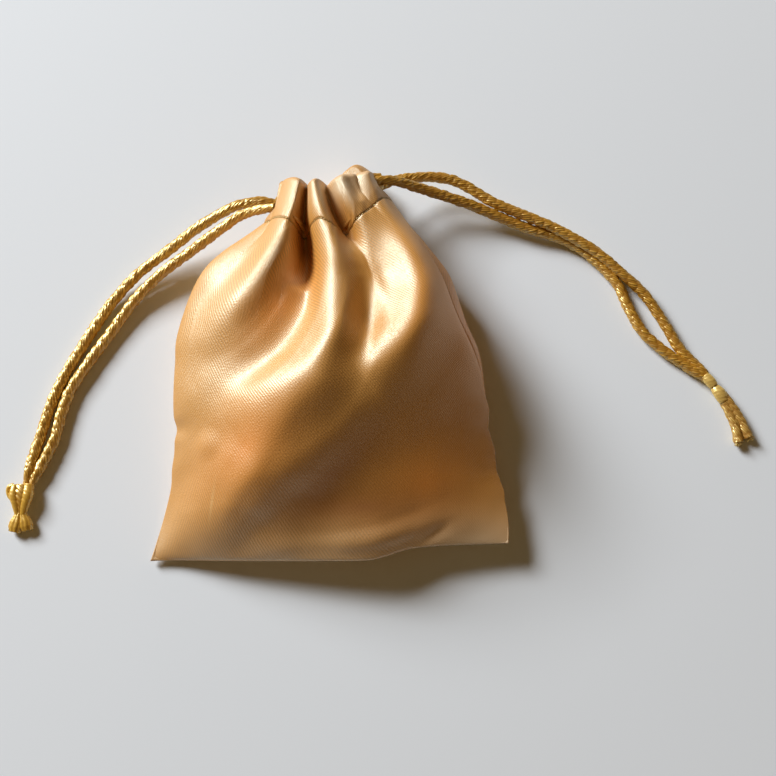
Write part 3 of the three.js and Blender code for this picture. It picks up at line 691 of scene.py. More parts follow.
# %% [markdown]
# ## The shape of a panel
# A panel is one piece of cloth. It runs from the bottom edge up to the stitch line, on up the outside of
# the casing, over the top fold and down inside to the hem's edge, so one grid of points follows it all the
# way. The rows go up the cloth and the columns across it. Near the neck the columns draw together until
# every column has the same length of stitch line, which is what gathering does.

# %% Points on the body and on the casing
SEAM_GAP = 0.1  # between the two panels at their seam
FOLD_FADE = 0.5  # how the folds die away at the seams: lower is later
STITCH_REACH = 0.62  # above this share of the way up, the rows take the stitch line's shape
BOTTOM_REACH = 0.2  # and below this one the bottom edge's sag
LIFT_REACH = 0.34  # the lift of the bottom edge ends at this share of the way up
LIFT_SHARE = 0.4  # how much of the lift the front's crown doesn't follow
LEAST_RISE = 0.6  # no dent takes the front lower than this above the seams
SEWN_REACH = 0.16  # the panels part from each other over this share above the bottom seam
SEWN_POWER = 0.8  # below 1 they round off more steeply at the seam
LYING_REACH = 0.72  # above this share the back rises off the table
LYING_SQUARE = 5  # of the back's arch where it lies: boxy
LYING_ROUND = 0.7
LYING_PRESS = 0.35  # how much deeper it would hang if the table did not press it flat
CASING_WALLS = 5.9  # between the outer and the inner wall of a casing
CASING_END = 0.82  # the open ends of a casing stand in to this share of the neck
CASING_TAPER = 0.3
CASING_CORNER = 4
CASING_DIP = 1.6  # how far the front casing sinks from the stitch line to the mouth
DIP_POWER = 1.5


def body_points(panel, across, share):
    """Points on the outside of a panel, from the bottom edge to the stitch line."""
    seam = {name: along(SEAM, name, share) for name in SEAM}
    row = {name: along(ARCHES, name, share) for name in ARCHES}
    part = (across + 1) / 2
    x, y, z = (lerp(seam["left_" + axis], seam["right_" + axis], part) for axis in "xyz")
    straight = lerp(NECK["stitch"][0], NECK["stitch"][-1], part)
    y = y + (between(NECK, "across", "stitch", across) - straight) * smoothstep(share, STITCH_REACH, 1)
    y = y - between(BOTTOM, "across", "sag", across) * (1 - smoothstep(share, 0, BOTTOM_REACH))
    lift = between(BOTTOM, "across", "lift", across) * (1 - smoothstep(share, 0, LIFT_REACH))
    z = z + lift
    sewn = np.sin(np.pi / 2 * np.clip(share / SEWN_REACH, 0, 1)) ** SEWN_POWER
    curve = arch(row["square"], row["round"], leaning(across, row["peak"]))
    folds = folds_height(panel["folds"], x, y) * curve**FOLD_FADE
    if panel["face"] > 0:
        crown = row["crown"] - (seam["left_z"] + seam["right_z"]) / 2 - lift * LIFT_SHARE
        rise = np.maximum(crown * curve + folds, LEAST_RISE * curve) * sewn
        return np.stack([x, y, z + SEAM_GAP / 2 + rise], axis=-1)
    lying = 1 - smoothstep(share, LYING_REACH, 1)
    square, rounded = lerp(row["square"], LYING_SQUARE, lying), lerp(row["round"], LYING_ROUND, lying)
    drop = arch(square, rounded, across) * sewn
    depth = (z - row["floor"]) * (1 + LYING_PRESS * lying)
    x = x + np.where(across > 0, row["bulge"] * np.sin(np.pi * drop), 0)
    return np.stack([x, y, np.maximum(z - SEAM_GAP / 2 - depth * drop - folds * sewn, 0)], axis=-1)


def casing_points(panel, across, height, inset, gather):
    """Points on a casing: height goes from the stitch line to the top fold, inset from the outer face in."""
    left, right = (np.array([SEAM[side + axis][-1] for axis in "xyz"]) for side in ("left_", "right_"))
    middle, half = (left + right) / 2, (right[0] - left[0]) / 2
    neck = {name: ARCHES[name][-1] for name in ARCHES}
    place = across * lerp(1, CASING_END, smoothstep(height, 0, CASING_TAPER) * across**CASING_CORNER)
    front = panel["face"] > 0
    stitch = between(NECK, "across", "stitch", across)
    y = lerp(stitch, between(NECK, "across", "top" if front else "back_top", across), height)
    lean = between(NECK, "across", "lean", across) * height * gather if front else 0
    depth = neck["crown"] - middle[2] if front else middle[2] - neck["floor"]
    curve = arch(neck["square"], neck["round"], place)
    rolls = folds_height(panel["folds"], middle[0] + half * place, y) * curve**FOLD_FADE * gather
    dip = CASING_DIP * height**DIP_POWER * curve if front else 0
    z = middle[2] + panel["face"] * (SEAM_GAP / 2 + (depth - inset) * curve + rolls - dip)
    return np.stack([middle[0] + (half - inset) * place + lean, y, z], axis=-1)


# face is the way out of the cloth: 1 is up and -1 is down
FRONT = {"face": 1, "folds": FRONT_FOLDS, "columns": 210, "rows": 120}
BACK = {"face": -1, "folds": BACK_FOLDS, "columns": 130, "rows": 90}
print("front crown", round(float(body_points(FRONT, np.array(0.0), 0.5)[2]), 1), "mm high")

# %% The whole grid of a panel
COLUMN_SAMPLES = 1201
EDGE_COLUMNS = 0.6  # how much closer the columns lie at the side seams
DRAWN_FROM = 0.4  # from this share on the columns draw together
DRAWN_FULL = 0.95
FINE_FROM = 0.955  # above this share the rows lie close, for the stitch line's groove
FINE_ROWS = 16
CASING_ROWS = 34
CASING_SPREAD = 1.15  # above 1 its rows lie closer at the stitch line
CASING_HEIGHT = 12.0
FOLD_START = 0.86  # share of the casing's height where the top fold starts
FOLD_ROUND = 2.2
FOLD_ROWS = 14
HEM_HEIGHTS = np.linspace(0.8, 0.08, 16)
HEM_WALLS = 0.9  # how far the hem's edge lies under the casing
HEM_EDGE = 1.0  # this far above the stitch line the hem leaves the casing
HEM_RISE = 2.4  # and from here on it is the casing's inner wall


def gathered_columns(panel):
    """Where the columns lie across the neck, with the same length of stitch line in each."""
    across = np.linspace(-1, 1, COLUMN_SAMPLES)
    walked = walk(body_points(panel, across, np.ones_like(across)))
    return np.interp(np.linspace(0, walked[-1], panel["columns"] + 1), walked, across)


def panel_grid(panel):
    """Rows of points up the body and casing, over the fold and down the hem, and the stitch line's row."""
    gathered = gathered_columns(panel)
    even = np.linspace(-1, 1, panel["columns"] + 1)
    spread = lerp(even, np.sin(np.pi / 2 * even), EDGE_COLUMNS)
    shares = np.concatenate([
        np.linspace(0, FINE_FROM, panel["rows"], endpoint=False),
        np.linspace(FINE_FROM, 1, FINE_ROWS),
    ])
    drawn = smoothstep(shares, DRAWN_FROM, DRAWN_FULL)[:, None]
    across = lerp(spread[None, :], gathered[None, :], drawn)
    rows = list(body_points(panel, across, np.broadcast_to(shares[:, None], across.shape)))
    stitch_row = len(rows) - 1

    def casing(height, inset, gather):
        return casing_points(panel, gathered, height, inset, gather)

    for height in FOLD_START * np.linspace(0, 1, CASING_ROWS + 1)[1:] ** CASING_SPREAD:
        rows.append(casing(height, 0, 1))
    outer, inner = rows[-1], casing(FOLD_START, CASING_WALLS, 0)
    for turn in np.linspace(0, np.pi, FOLD_ROWS + 1)[1:]:
        folded = lerp(outer, inner, (1 - np.cos(turn)) / 2)
        folded[:, 1] += FOLD_ROUND * np.sin(turn)
        rows.append(folded)
    for height in HEM_HEIGHTS:
        deep = smoothstep(height * CASING_HEIGHT, HEM_EDGE, HEM_RISE)
        rows.append(casing(height, lerp(HEM_WALLS, CASING_WALLS, deep), lerp(1, 0, deep)))
    return np.array(rows), stitch_row


def grid_normals(grid, face):
    """Directions out of the cloth at each point of a grid."""
    up, across = np.gradient(grid, axis=0), np.gradient(grid, axis=1)
    normals = np.cross(across, up) * face
    return normals / np.maximum(np.linalg.norm(normals, axis=-1, keepdims=True), 1e-9)


front_grid, front_stitch = panel_grid(FRONT)
back_grid, back_stitch = panel_grid(BACK)
print("front grid", front_grid.shape, "back grid", back_grid.shape)

# %% [markdown]
# ## Sewn details
# Sewing draws cloth in. Along the casing's stitch line the thread sinks into a groove, with small puckers
# above and below it. The side seams pucker in a few places, both panels in step because one seam holds them.
# The body keeps some faint, uneven waves from handling, and one small bump where the filling pokes it. How
# deep a point lies in the groove is stored, so the finish can paint shade into it.

# %% Pucker the cloth
GROOVE = 0.3  # depth of the stitch line's groove in millimetres
GROOVE_HALF = 0.25
PUCKER = 0.08
PUCKER_LENGTH = 3.3
PUCKER_REACH = 3.0
EDGE_FADE = 4.0  # puckers and waves die away this near to the seams
BODY_FADE = 12.0  # and waves this near to the stitch line
WAVE_COUNT = 26
WAVE_SLOPE = 0.012  # the steepest slope of one wave
WAVE_LENGTHS = chance.uniform(6.0, 24.0, WAVE_COUNT)
WAVE_DIRECTIONS = chance.uniform(0, math.pi, WAVE_COUNT)
WAVE_STARTS = chance.uniform(0, 2 * math.pi, WAVE_COUNT)
SEAM_PUCKERS = table(
    ("side", "y", "push", "half"),
    (-1, -20.5, -0.7, 3.5),
    (-1, -31, 0.4, 5),
    (-1, 2, 0.3, 6),
    (1, -15, 0.4, 3),
    (1, -20.5, -0.4, 2.6),
    (1, -26, 0.4, 2.8),
    (1, -31.5, -0.4, 2.6),
    (1, -37, 0.4, 3),
)
SEAM_PUCKER_REACH = 6.0
BUMP_PLACE = (-31.3, -26.0)
BUMP_HALF = 5.0
BUMP_HEIGHT = 0.5


def cloth_walks(grid):
    """How far each point lies along its row from the left, and along its column from the bottom."""
    across = np.linalg.norm(np.diff(grid, axis=1), axis=-1)
    up = np.linalg.norm(np.diff(grid, axis=0), axis=-1)
    across = np.pad(np.cumsum(across, axis=1), ((0, 0), (1, 0)))
    return across, np.pad(np.cumsum(up, axis=0), ((1, 0), (0, 0)))


def hump(distance):
    """1 at distance 0 and 0 from distance 1 on."""
    return 1 - smoothstep(np.abs(distance), 0, 1)


def small_heights(grid, stitch_row, face):
    """Heights of the groove, the puckers, the waves and the bump."""
    across, up = cloth_walks(grid)
    from_stitch = up - up[stitch_row]
    outer = (np.arange(len(grid)) <= stitch_row + CASING_ROWS)[:, None]
    groove = np.exp(-((from_stitch / GROOVE_HALF) ** 2)) * outer
    near = np.exp(-((from_stitch / PUCKER_REACH) ** 2)) * outer
    sewn = across[stitch_row]
    uneven = 1 + 0.5 * np.sin(sewn / 5.1 + 2 * face) + 0.4 * np.sin(sewn / 2.3)
    height = PUCKER * near * uneven * np.sin(2 * np.pi * sewn / PUCKER_LENGTH + 0.8 * np.sin(sewn / 4.0))
    body = smoothstep(up[stitch_row] - up, 0, BODY_FADE)
    x, y = grid[..., 0], grid[..., 1]
    for length, direction, start in zip(WAVE_LENGTHS, WAVE_DIRECTIONS, WAVE_STARTS):
        turn = 2 * np.pi * (x * np.cos(direction) + y * np.sin(direction)) / length + start
        height += WAVE_SLOPE * length / (2 * np.pi) * body * np.sin(turn)
    if face > 0:
        height += BUMP_HEIGHT * hump(np.hypot(x - BUMP_PLACE[0], y - BUMP_PLACE[1]) / BUMP_HALF)
    edge = np.minimum(across, across[:, -1:] - across)
    height *= smoothstep(edge, 0, EDGE_FADE) * smoothstep(up, 0, EDGE_FADE)
    return height - GROOVE * groove, groove, edge


def puckered(grid, stitch_row, face):
    """The grid with its small heights and with its seams pushed in and out, and where shade is painted into
    the groove.
    """
    height, dark, edge = small_heights(grid, stitch_row, face)
    moved = grid + grid_normals(grid, face) * height[..., None]
    for side, y, push, half in zip(*SEAM_PUCKERS.values()):
        near = np.exp(-((edge / SEAM_PUCKER_REACH) ** 2)) * (np.sign(grid[..., 0]) == side)
        moved[..., 0] += side * push * near * hump((grid[..., 1] - y) / half)
    moved[..., 2] = np.maximum(moved[..., 2], 0)
    return moved, dark


front_grid, front_dark = puckered(front_grid, front_stitch, 1)
back_grid, back_dark = puckered(back_grid, back_stitch, -1)
print("front reaches", round(float(front_grid[..., 2].max()), 1), "mm up")

# %% [markdown]
# ## Make the panels
# The grid becomes a mesh, and Solidify gives the cloth its thickness on the inside. The cloth's own
# coordinates go into a UV map, so that the weave follows the cloth into every fold.

# %% Build the two panels
CLOTH_THICKNESS = 0.45


def cloth_coordinates(grid, stitch_row):
    """Places on the flat cloth: across from the middle, and up from the bottom edge, in millimetres."""
    across_steps = np.linalg.norm(np.diff(grid[: stitch_row // 2], axis=1), axis=-1).sum(axis=1)
    width = across_steps.max()
    up_steps = np.median(np.linalg.norm(np.diff(grid, axis=0), axis=-1), axis=1)
    up = np.concatenate([[0], np.cumsum(up_steps)])
    across = np.linspace(-width / 2, width / 2, grid.shape[1])
    return np.meshgrid(across, up)


def panel_piece(name, grid, dark, stitch_row, face):
    """A cloth panel with its thickness."""
    rows, columns = grid.shape[:2]
    across, up = cloth_coordinates(grid, stitch_row)
    index = np.arange(rows * columns).reshape(rows, columns)
    quads = np.stack([index[:-1, :-1], index[:-1, 1:], index[1:, 1:], index[1:, :-1]], axis=-1).reshape(-1, 4)
    if face < 0:
        quads = quads[:, ::-1]
    uvs = np.stack([across, up], axis=-1).reshape(-1, 2) / UV_LENGTH
    piece = mesh_piece(name, grid.reshape(-1, 3), quads.tolist(), uvs, 1 - dark.reshape(-1))
    wall = piece.modifiers.new("cloth thickness", "SOLIDIFY")
    wall.thickness = CLOTH_THICKNESS * MM
    wall.offset = -1
    bpy.ops.object.modifier_apply(modifier=wall.name)
    width, length = np.ptp(across), up.max()
    print(name, len(piece.data.polygons), "faces,", f"{width:.0f} by {length:.0f} mm")
    return piece


front_panel = panel_piece("front_panel_satin", front_grid, front_dark, front_stitch, 1)
back_panel = panel_piece("back_panel_satin", back_grid, back_dark, back_stitch, -1)
for panel, node in ((front_panel, "front_panel"), (back_panel, "back_panel")):
    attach(panel, "root")
    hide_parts(node)

# %% [markdown]
# ## The cords inside the casings
# Inside the casings each cord goes once round the mouth: in at one end of the front casing, round the other
# end of the neck and back through the back casing. The mouth shows a little of it, so it gets the same plies.

# %% Thread the casings
RUN_DEPTH = 4.6  # from the mouth's middle up or down to the cords
RUN_ENTRY = 17.2  # how far the ends of a run reach from the mouth's middle
RUN_BIGHT = 14.4  # how far its turn reaches on the other side
RUN_OPEN = 0.18  # share of half a turn that is left open between its two ends
RUN_SQUARE = 0.8  # below 1 the turn is boxier than a half circle
RUN_POINTS = 18
CORD_STACK = 1.65  # two cords share a casing, each this far from their middle line
STACK_CHANGE = 2.2  # how quickly a cord changes its side of that line where it turns
NECK_LEFT, NECK_RIGHT, NECK_LEVEL = SEAM["left_x"][-1], SEAM["right_x"][-1], SEAM["left_z"][-1]
NECK_MIDDLE = (NECK_LEFT + NECK_RIGHT) / 2


def channel_y(x):
    """The middle line of the cords in a casing."""
    reach = (NECK_RIGHT - NECK_LEFT - CASING_WALLS) / 2 * CASING_END
    return between(NECK, "across", "cord", np.clip((x - NECK_MIDDLE) / reach, -1, 1))


def boxy(value):
    """A sine or cosine, drawn out from a circle towards a box."""
    return np.sign(value) * np.abs(value) ** RUN_SQUARE


def run_points(side):
    """The route of a cord inside the casings: side is -1 for the left cord and 1 for the right one."""
    turn = np.pi * np.linspace(RUN_OPEN, 2 - RUN_OPEN, RUN_POINTS + 1)
    forward, up = np.cos(turn), np.sin(turn)
    reach = np.where(forward > 0, RUN_ENTRY * forward, RUN_BIGHT * boxy(forward))
    rise = np.where(forward > 0, up, boxy(up))
    x = NECK_MIDDLE + side * reach
    stack = side * CORD_STACK * np.clip(up * STACK_CHANGE, -1, 1)
    slope = channel_y(x + 0.5) - channel_y(x - 0.5)
    length = np.hypot(slope, 1)
    y = channel_y(x) + stack / length
    return np.stack([x - stack * slope / length, y, NECK_LEVEL + RUN_DEPTH * rise], axis=1)


runs = {}
for node, side in (("left_cord_run", -1), ("right_cord_run", 1)):
    path, walked = smooth_route(run_points(side), CORD_STEP)
    run = mesh_piece(node + "_twist", *tube_arrays(path, walked, RUN_DIAMETER / 2, cord_relief))
    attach(run, "root")
    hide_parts(node)
    runs[node] = run
    print(node, f"{walked[-1]:.0f} mm in the casings")

# %% [markdown]
# ## Stitches
# A sewing machine leaves a row of short, slightly slanted stitches that sink into the cloth at both ends. One
# stitch is modelled and its shape is set down again and again along the stitch line of each panel.

# %% Model one stitch
STITCH_LENGTH = 1.15
STITCH_WIDTH = 0.3
STITCH_PITCH = 1.0
STITCH_SLANT = math.radians(13)
STITCH_SINK = 0.22  # how far its ends bend down
STITCH_LIFT = 0.55  # how far it lies above the groove, as a share of its width


def stitch_shape():
    """Corners and faces of one stitch along X: a bar with round, sunken ends."""
    bpy.ops.object.select_all(action="DESELECT")
    bpy.ops.mesh.primitive_uv_sphere_add(segments=10, ring_count=9, radius=0.5, rotation=(0, math.pi / 2, 0))
    stitch = bpy.context.object
    bpy.ops.object.transform_apply(rotation=True)
    bpy.ops.object.mode_set(mode="EDIT")
    bpy.ops.mesh.select_all(action="SELECT")
    bpy.ops.transform.resize(value=(STITCH_LENGTH, STITCH_WIDTH, STITCH_WIDTH))
    bpy.ops.object.mode_set(mode="OBJECT")
    corners = np.array([corner.co for corner in stitch.data.vertices])
    faces = [list(face.vertices) for face in stitch.data.polygons]
    bpy.data.objects.remove(stitch)
    corners[:, 2] -= STITCH_SINK * (2 * corners[:, 0] / STITCH_LENGTH) ** 2
    return corners, faces


stitch_corners, stitch_faces = stitch_shape()
print("one stitch:", len(stitch_faces), "faces")

# %% Sew both casings


def stitch_row_piece(name, grid, stitch_row, face):
    """Stitches along the stitch line of a panel, as one mesh."""
    line, out = grid[stitch_row], grid_normals(grid, face)[stitch_row]
    walked = walk(line)
    parts = []
    for place in np.arange(STITCH_PITCH, walked[-1] - STITCH_PITCH, STITCH_PITCH):
        at, ahead, up = (
            np.array([np.interp(place, walked, values[:, k]) for k in range(3)])
            for values in (line, np.gradient(line, axis=0), out)
        )
        ahead, up = ahead / np.linalg.norm(ahead), up / np.linalg.norm(up)
        side = np.cross(up, ahead)
        slanted = ahead * math.cos(STITCH_SLANT) + side * math.sin(STITCH_SLANT)
        axes = np.stack([slanted, np.cross(up, slanted), up])
        corners = at + up * (STITCH_WIDTH * STITCH_LIFT) + stitch_corners @ axes
        uvs = np.full((len(corners), 2), place / UV_LENGTH)
        parts.append((corners, stitch_faces, uvs, np.ones(len(corners))))
    piece = mesh_piece(name, *join_arrays(parts))
    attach(piece, "root")
    print(name, len(parts), "stitches")
    return piece


front_stitches = stitch_row_piece("front_stitches", front_grid, front_stitch, 1)
back_stitches = stitch_row_piece("back_stitches", back_grid, back_stitch, -1)

# %% [markdown]
# ## Satin
# Satin is woven so that most of its threads float on the surface, side by side. They shine like a brushed
# surface: little plain colour and a broad, pale gloss, so the cloth is bright where it mirrors the window
# and deep orange where it mirrors the dark room. Some warm bounce light, shade and pale light are also
# painted into its colour in soft patches. Fine diagonal lines show where the floats are tied down, and single
# threads glitter. Both come from the cloth's own coordinates, so they bend with every fold.

# %% The weave, the painted light and shade, and a slub, as shader groups
WEAVE_SPACING = 0.62  # millimetres from one diagonal line to the next
WEAVE_ANGLE = math.radians(-33)
WAVE_TURN = 20  # the wave texture turns through 20 radians for each unit at scale 1
GRAIN_SIZE = 0.5  # millimetres
BLOB_TALL = 10  # metres, so that a blob is the same at any height


def set_inputs(node, values):
    """Put values on a node's named inputs."""
    for name, value in values.items():
        node.inputs[name].default_value = value


def add_node(tree, kind, vector, values):
    """A new shader node that reads a vector, with values on its other inputs."""
    node = tree.nodes.new("ShaderNode" + kind)
    set_inputs(node, values)
    tree.links.new(vector, node.inputs["Vector"])
    return node


def new_group(name, outputs):
    """An empty shader group that takes a vector and gives the named values."""
    group = bpy.data.node_groups.new(name, "ShaderNodeTree")
    group.interface.new_socket("Vector", in_out="INPUT", socket_type="NodeSocketVector")
    for output in outputs:
        group.interface.new_socket(output, in_out="OUTPUT", socket_type="NodeSocketFloat")
    vector = group.nodes.new("NodeGroupInput").outputs["Vector"]
    return group, vector, group.nodes.new("NodeGroupOutput")


def weave_group():
    group, vector, result = new_group("satin_weave", ("Lines", "Grain"))
    turned = add_node(group, "Mapping", vector, {"Rotation": (0, 0, WEAVE_ANGLE)})
    scale = 2 * math.pi / WAVE_TURN / (WEAVE_SPACING / UV_LENGTH)
    uneven = {"Distortion": 1.6, "Detail": 2, "Detail Scale": 2.5}
    lines = add_node(group, "TexWave", turned.outputs["Vector"], {"Scale": scale, **uneven})
    grain = add_node(group, "TexNoise", vector, {"Scale": UV_LENGTH / GRAIN_SIZE, "Detail": 1})
    group.links.new(lines.outputs["Fac"], result.inputs["Lines"])
    group.links.new(grain.outputs["Fac"], result.inputs["Grain"])
    return group


def blob(group, vector, place, halves, angle):
    """A soft round mask in millimetres: 1 in its middle and 0 from its edge on, at any height."""
    mapped = add_node(group, "Mapping", vector, {
        "Location": (place[0] * MM, place[1] * MM, 0),
        "Rotation": (0, 0, math.radians(angle)),
        "Scale": (halves[0] * MM, halves[1] * MM, BLOB_TALL),
    })
    mapped.vector_type = "TEXTURE"
    ball = add_node(group, "TexGradient", mapped.outputs["Vector"], {})
    ball.gradient_type = "QUADRATIC_SPHERE"
    return ball.outputs["Fac"]


# where light and shade are painted into the cloth's colour, and where one slub thread shows: the middle of
# each blob, its half width and half length, and its angle
PAINTED_LIGHT_AND_SLUB = {
    # painted warm bounce light: deeper orange where light bounces between the folds and shines through the
    # cloth, mostly on the shaded side
    "PaintedWarmBounce": [
        ((-20, -28), (36, 22), 43),
        ((26, -36), (34, 26), 20),
        ((40, 8), (36, 62), 0),
        ((-13, 9), (26, 12), 50),
    ],
    # painted shade: the dark band along the lower right of the filling
    "PaintedShade": [((2, -34), (40, 12), 42), ((10, -42), (34, 9), 4)],
    # painted light: paler along the bottom edge, where the cloth mirrors the table, and on the casing
    "PaintedLight": [((0, -62), (110, 26), 0), ((40, -54), (34, 22), 0), ((4, 43), (17, 10), 15)],
    # one thick slub thread in the weave
    "Slub": [((-30, -41), (0.8, 10), -10)],
}


def painted_light_and_slub_group():
    """Where warm bounce light, shade and pale light are painted into the cloth, and where one thick thread
    shows.
    """
    group, vector, result = new_group("satin_painted_light_and_slub", PAINTED_LIGHT_AND_SLUB)
    for name, blobs in PAINTED_LIGHT_AND_SLUB.items():
        total = None
        for place, halves, angle in blobs:
            mask = blob(group, vector, place, halves, angle)
            if total is not None:
                add = group.nodes.new("ShaderNodeMath")
                add.use_clamp = True
                group.links.new(total, add.inputs[0])
                group.links.new(mask, add.inputs[1])
                mask = add.outputs["Value"]
            total = mask
        group.links.new(total, result.inputs[name])
    return group


satin_weave = weave_group()
satin_painted_light_and_slub = painted_light_and_slub_group()
print("weave lines every", WEAVE_SPACING, "mm")

# %% The satin finish
LINE_COLOURS = ((0.49, 0.205, 0.02), (0.76, 0.335, 0.045))  # between the weave's lines and on them
# colours painted for the warm bounce light, the shade and the pale light, and the slub thread's own colour
PAINTED_LIGHT_AND_SLUB_COLOURS = {
    "PaintedWarmBounce": (0.84, 0.27, 0.01),
    "PaintedShade": (0.52, 0.165, 0.012),
    "PaintedLight": (0.68, 0.48, 0.29),
    "Slub": (0.8, 0.42, 0.12),
}
# painted shade: the colour of the cloth in the stitch line's groove
PAINTED_GROOVE_SHADE = (0.16, 0.055, 0.008)  # in the stitch line's groove
LINE_BUMP = {"Strength": 0.55, "Distance": 0.00006}
GRAIN_BUMP = {"Strength": 0.7, "Distance": 0.0001}
SATIN_GLOSS = {
    "Roughness": 0.5,
    "IOR": 2.1,
    "Specular IOR Level": 0.9,
    "Specular Tint": (0.87, 0.95, 0.8, 1),
}


def new_material(name):
    material = bpy.data.materials.new(name)
    material.use_nodes = True
    tree = material.node_tree
    return material, tree, tree.nodes["Principled BSDF"]


def mixed_colour(tree, mask, low, high):
    """A colour that goes from one to another with a mask. Each is a colour or another node's output."""
    mix = tree.nodes.new("ShaderNodeMix")
    mix.data_type = "RGBA"
    for name, colour in (("A", low), ("B", high)):
        if isinstance(colour, tuple):
            mix.inputs[name].default_value = (*colour, 1)
        else:
            tree.links.new(colour, mix.inputs[name])
    tree.links.new(mask, mix.inputs["Factor"])
    return mix.outputs["Result"]


def group_values(tree, group, vector):
    """What a shader group gives for a vector."""
    node = tree.nodes.new("ShaderNodeGroup")
    node.node_tree = group
    tree.links.new(vector, node.inputs["Vector"])
    return node.outputs


def cloth_place(tree):
    """Where a point lies on its own cloth or cord."""
    node = tree.nodes.new("ShaderNodeUVMap")
    node.uv_map = "cloth"
    return node.outputs["UV"]


# the stored height as a mask: low places get painted shade
def painted_groove_shade(tree):
    node = tree.nodes.new("ShaderNodeAttribute")
    node.attribute_name = "height"
    return node.outputs["Fac"]


def add_bump(tree, height, values):
    node = tree.nodes.new("ShaderNodeBump")
    set_inputs(node, values)
    tree.links.new(height, node.inputs["Height"])
    return node


def satin_material():
    material, tree, surface = new_material("gold_satin")
    weave = group_values(tree, satin_weave, cloth_place(tree))
    painted_light_and_slub_masks = group_values(tree, satin_painted_light_and_slub, tree.nodes.new("ShaderNodeTexCoord").outputs["Object"])
    colour = mixed_colour(tree, weave["Lines"], *LINE_COLOURS)
    # painted light and shade from the blobs, and the slub thread
    for name, light_and_slub_colour in PAINTED_LIGHT_AND_SLUB_COLOURS.items():
        colour = mixed_colour(tree, painted_light_and_slub_masks[name], colour, light_and_slub_colour)
    # painted shade in the stitch line's groove
    colour = mixed_colour(tree, painted_groove_shade(tree), PAINTED_GROOVE_SHADE, colour)
    tree.links.new(colour, surface.inputs["Base Color"])
    set_inputs(surface, SATIN_GLOSS)
    lines = add_bump(tree, weave["Lines"], LINE_BUMP)
    grain = add_bump(tree, weave["Grain"], GRAIN_BUMP)
    tree.links.new(lines.outputs["Normal"], grain.inputs["Normal"])
    tree.links.new(grain.outputs["Normal"], surface.inputs["Normal"])
    return material


# %% The cord's finish
FILAMENT_WIDTH = 0.22  # millimetres
FILAMENT_LENGTH = 2.6
FILAMENT_DARK = 0.6  # the darkest filaments, as a share of the crown's colour
FILAMENT_BUMP = {"Strength": 0.8, "Distance": 0.00012}
CORD_GLOSS = {
    "Roughness": 0.33,
    "IOR": 2.3,
    "Specular IOR Level": 0.95,
    "Specular Tint": (1.0, 0.88, 0.44, 1),
}


def filament_group():
    """Fine threads that run along the plies, from how far round and how far along the cord a point lies."""
    group, vector, result = new_group("cord_filaments", ("Threads",))
    girth = math.pi * CORD_DIAMETER
    lay = (0, 0, -math.atan(girth / TWIST_LENGTH))
    flat = add_node(group, "Mapping", vector, {"Scale": (girth, UV_LENGTH, 1), "Rotation": lay})
    size = (1 / FILAMENT_WIDTH, 1 / FILAMENT_LENGTH, 1)
    drawn = add_node(group, "Mapping", flat.outputs["Vector"], {"Scale": size})
    threads = add_node(group, "TexNoise", drawn.outputs["Vector"], {"Scale": 1, "Detail": 1})
    group.links.new(threads.outputs["Fac"], result.inputs["Threads"])
    return group


cord_filaments = filament_group()


def thread_material(name, groove, crown):
    """Silky thread: shade painted into the grooves between plies, with fine filaments that catch the light.
    """
    material, tree, surface = new_material(name)
    threads = group_values(tree, cord_filaments, cloth_place(tree))["Threads"]
    lit = mixed_colour(tree, threads, tuple(FILAMENT_DARK * part for part in crown), crown)
    # painted shade: the grooves between plies take the groove colour
    colour = mixed_colour(tree, painted_groove_shade(tree), groove, lit)
    tree.links.new(colour, surface.inputs["Base Color"])
    set_inputs(surface, CORD_GLOSS)
    bump = add_bump(tree, threads, FILAMENT_BUMP)
    tree.links.new(bump.outputs["Normal"], surface.inputs["Normal"])
    return material


# %% Dress the pieces
satin = satin_material()
cord = thread_material("gold_cord", (0.34, 0.11, 0.003), (0.98, 0.54, 0.06))
# the right knot gets a paler copy of the cord's finish: painted light for its pale, pulled-flat highlights
knot_cord_painted_light = thread_material("cord_with_painted_light", (0.34, 0.11, 0.003), (1.0, 0.66, 0.17))
thread = thread_material("sewing_thread", (0.20, 0.08, 0.012), (0.42, 0.19, 0.035))
DRESS = {
    satin: [front_panel, back_panel],
    cord: [*strands.values(), *runs.values(), left_knot],
    knot_cord_painted_light: [right_knot],
    thread: [front_stitches, back_stitches],
}
for material, pieces in DRESS.items():
    for piece in pieces:
        piece.data.materials.append(material)
    print(material.name, "on", len(pieces), "pieces")

# %% [markdown]
# ## Table and light
# A pale table and one large soft window from the upper left, with a little fill from the room.

# %% Lay the table
TABLE_SIZE = 3  # metres
TABLE_FINISH = {"Base Color": (0.79, 0.83, 0.87, 1), "Roughness": 0.85, "Specular IOR Level": 0.2}

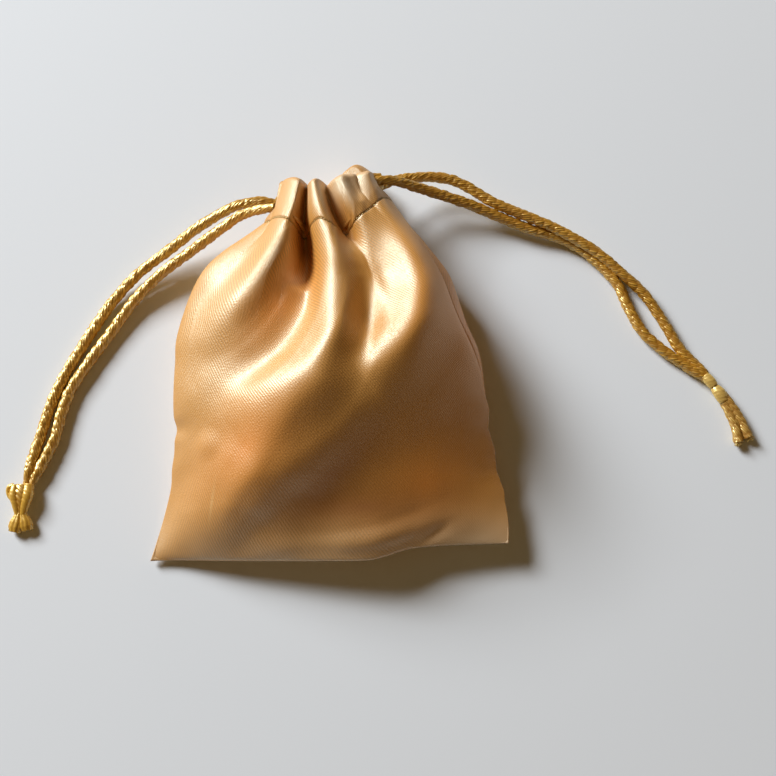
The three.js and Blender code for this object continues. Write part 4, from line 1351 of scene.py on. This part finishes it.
bpy.ops.mesh.primitive_plane_add(size=TABLE_SIZE)
table_top = bpy.context.object
table_top.name = "table_top"
tabletop, _, tabletop_surface = new_material("pale_table")
set_inputs(tabletop_surface, TABLE_FINISH)
table_top.data.materials.append(tabletop)
print("table", TABLE_SIZE, "m wide")

# %% Light the table
WINDOW_TOWARD = Vector((-0.64, 0.57, 0.51))  # from the pouch to the window
WINDOW_DISTANCE = 2.0
WINDOW_SIZE = 0.75
WINDOW_POWER = 59.0
WINDOW_COLOUR = (0.96, 0.98, 1.0)
# the room from the side away from the window to the window's side
ROOM = {
    0.0: (0.17, 0.095, 0.026),
    0.5: (0.13, 0.08, 0.028),
    0.75: (0.088, 0.056, 0.022),
    1.0: (0.10, 0.083, 0.066),
}


def make_window():
    bpy.ops.object.light_add(type="AREA", location=WINDOW_TOWARD * WINDOW_DISTANCE)
    window = bpy.context.object
    window.name = "window"
    window.data.size = WINDOW_SIZE
    window.data.energy = WINDOW_POWER
    window.data.color = WINDOW_COLOUR
    window.rotation_euler = WINDOW_TOWARD.to_track_quat("Z", "Y").to_euler()


def make_room():
    """A warm brown room that turns darker and then greyer towards the window's side."""
    world = bpy.data.worlds.new("room")
    world.use_nodes = True
    nodes, links = world.node_tree.nodes, world.node_tree.links
    place = nodes.new("ShaderNodeTexCoord")
    facing = nodes.new("ShaderNodeVectorMath")
    facing.operation = "DOT_PRODUCT"
    facing.inputs[1].default_value = WINDOW_TOWARD.normalized()
    links.new(place.outputs["Generated"], facing.inputs[0])
    share = nodes.new("ShaderNodeMapRange")
    share.inputs["From Min"].default_value = -1
    links.new(facing.outputs["Value"], share.inputs["Value"])
    ramp = nodes.new("ShaderNodeValToRGB")
    stops = ramp.color_ramp.elements
    while len(stops) < len(ROOM):
        stops.new(0.5)
    for stop, (where, colour) in zip(stops, ROOM.items()):
        stop.position = where
        stop.color = (*colour, 1)
    links.new(share.outputs["Result"], ramp.inputs["Fac"])
    links.new(ramp.outputs["Color"], nodes["Background"].inputs["Color"])
    bpy.context.scene.world = world


make_window()
make_room()
bpy.context.scene.view_settings.view_transform = "Standard"
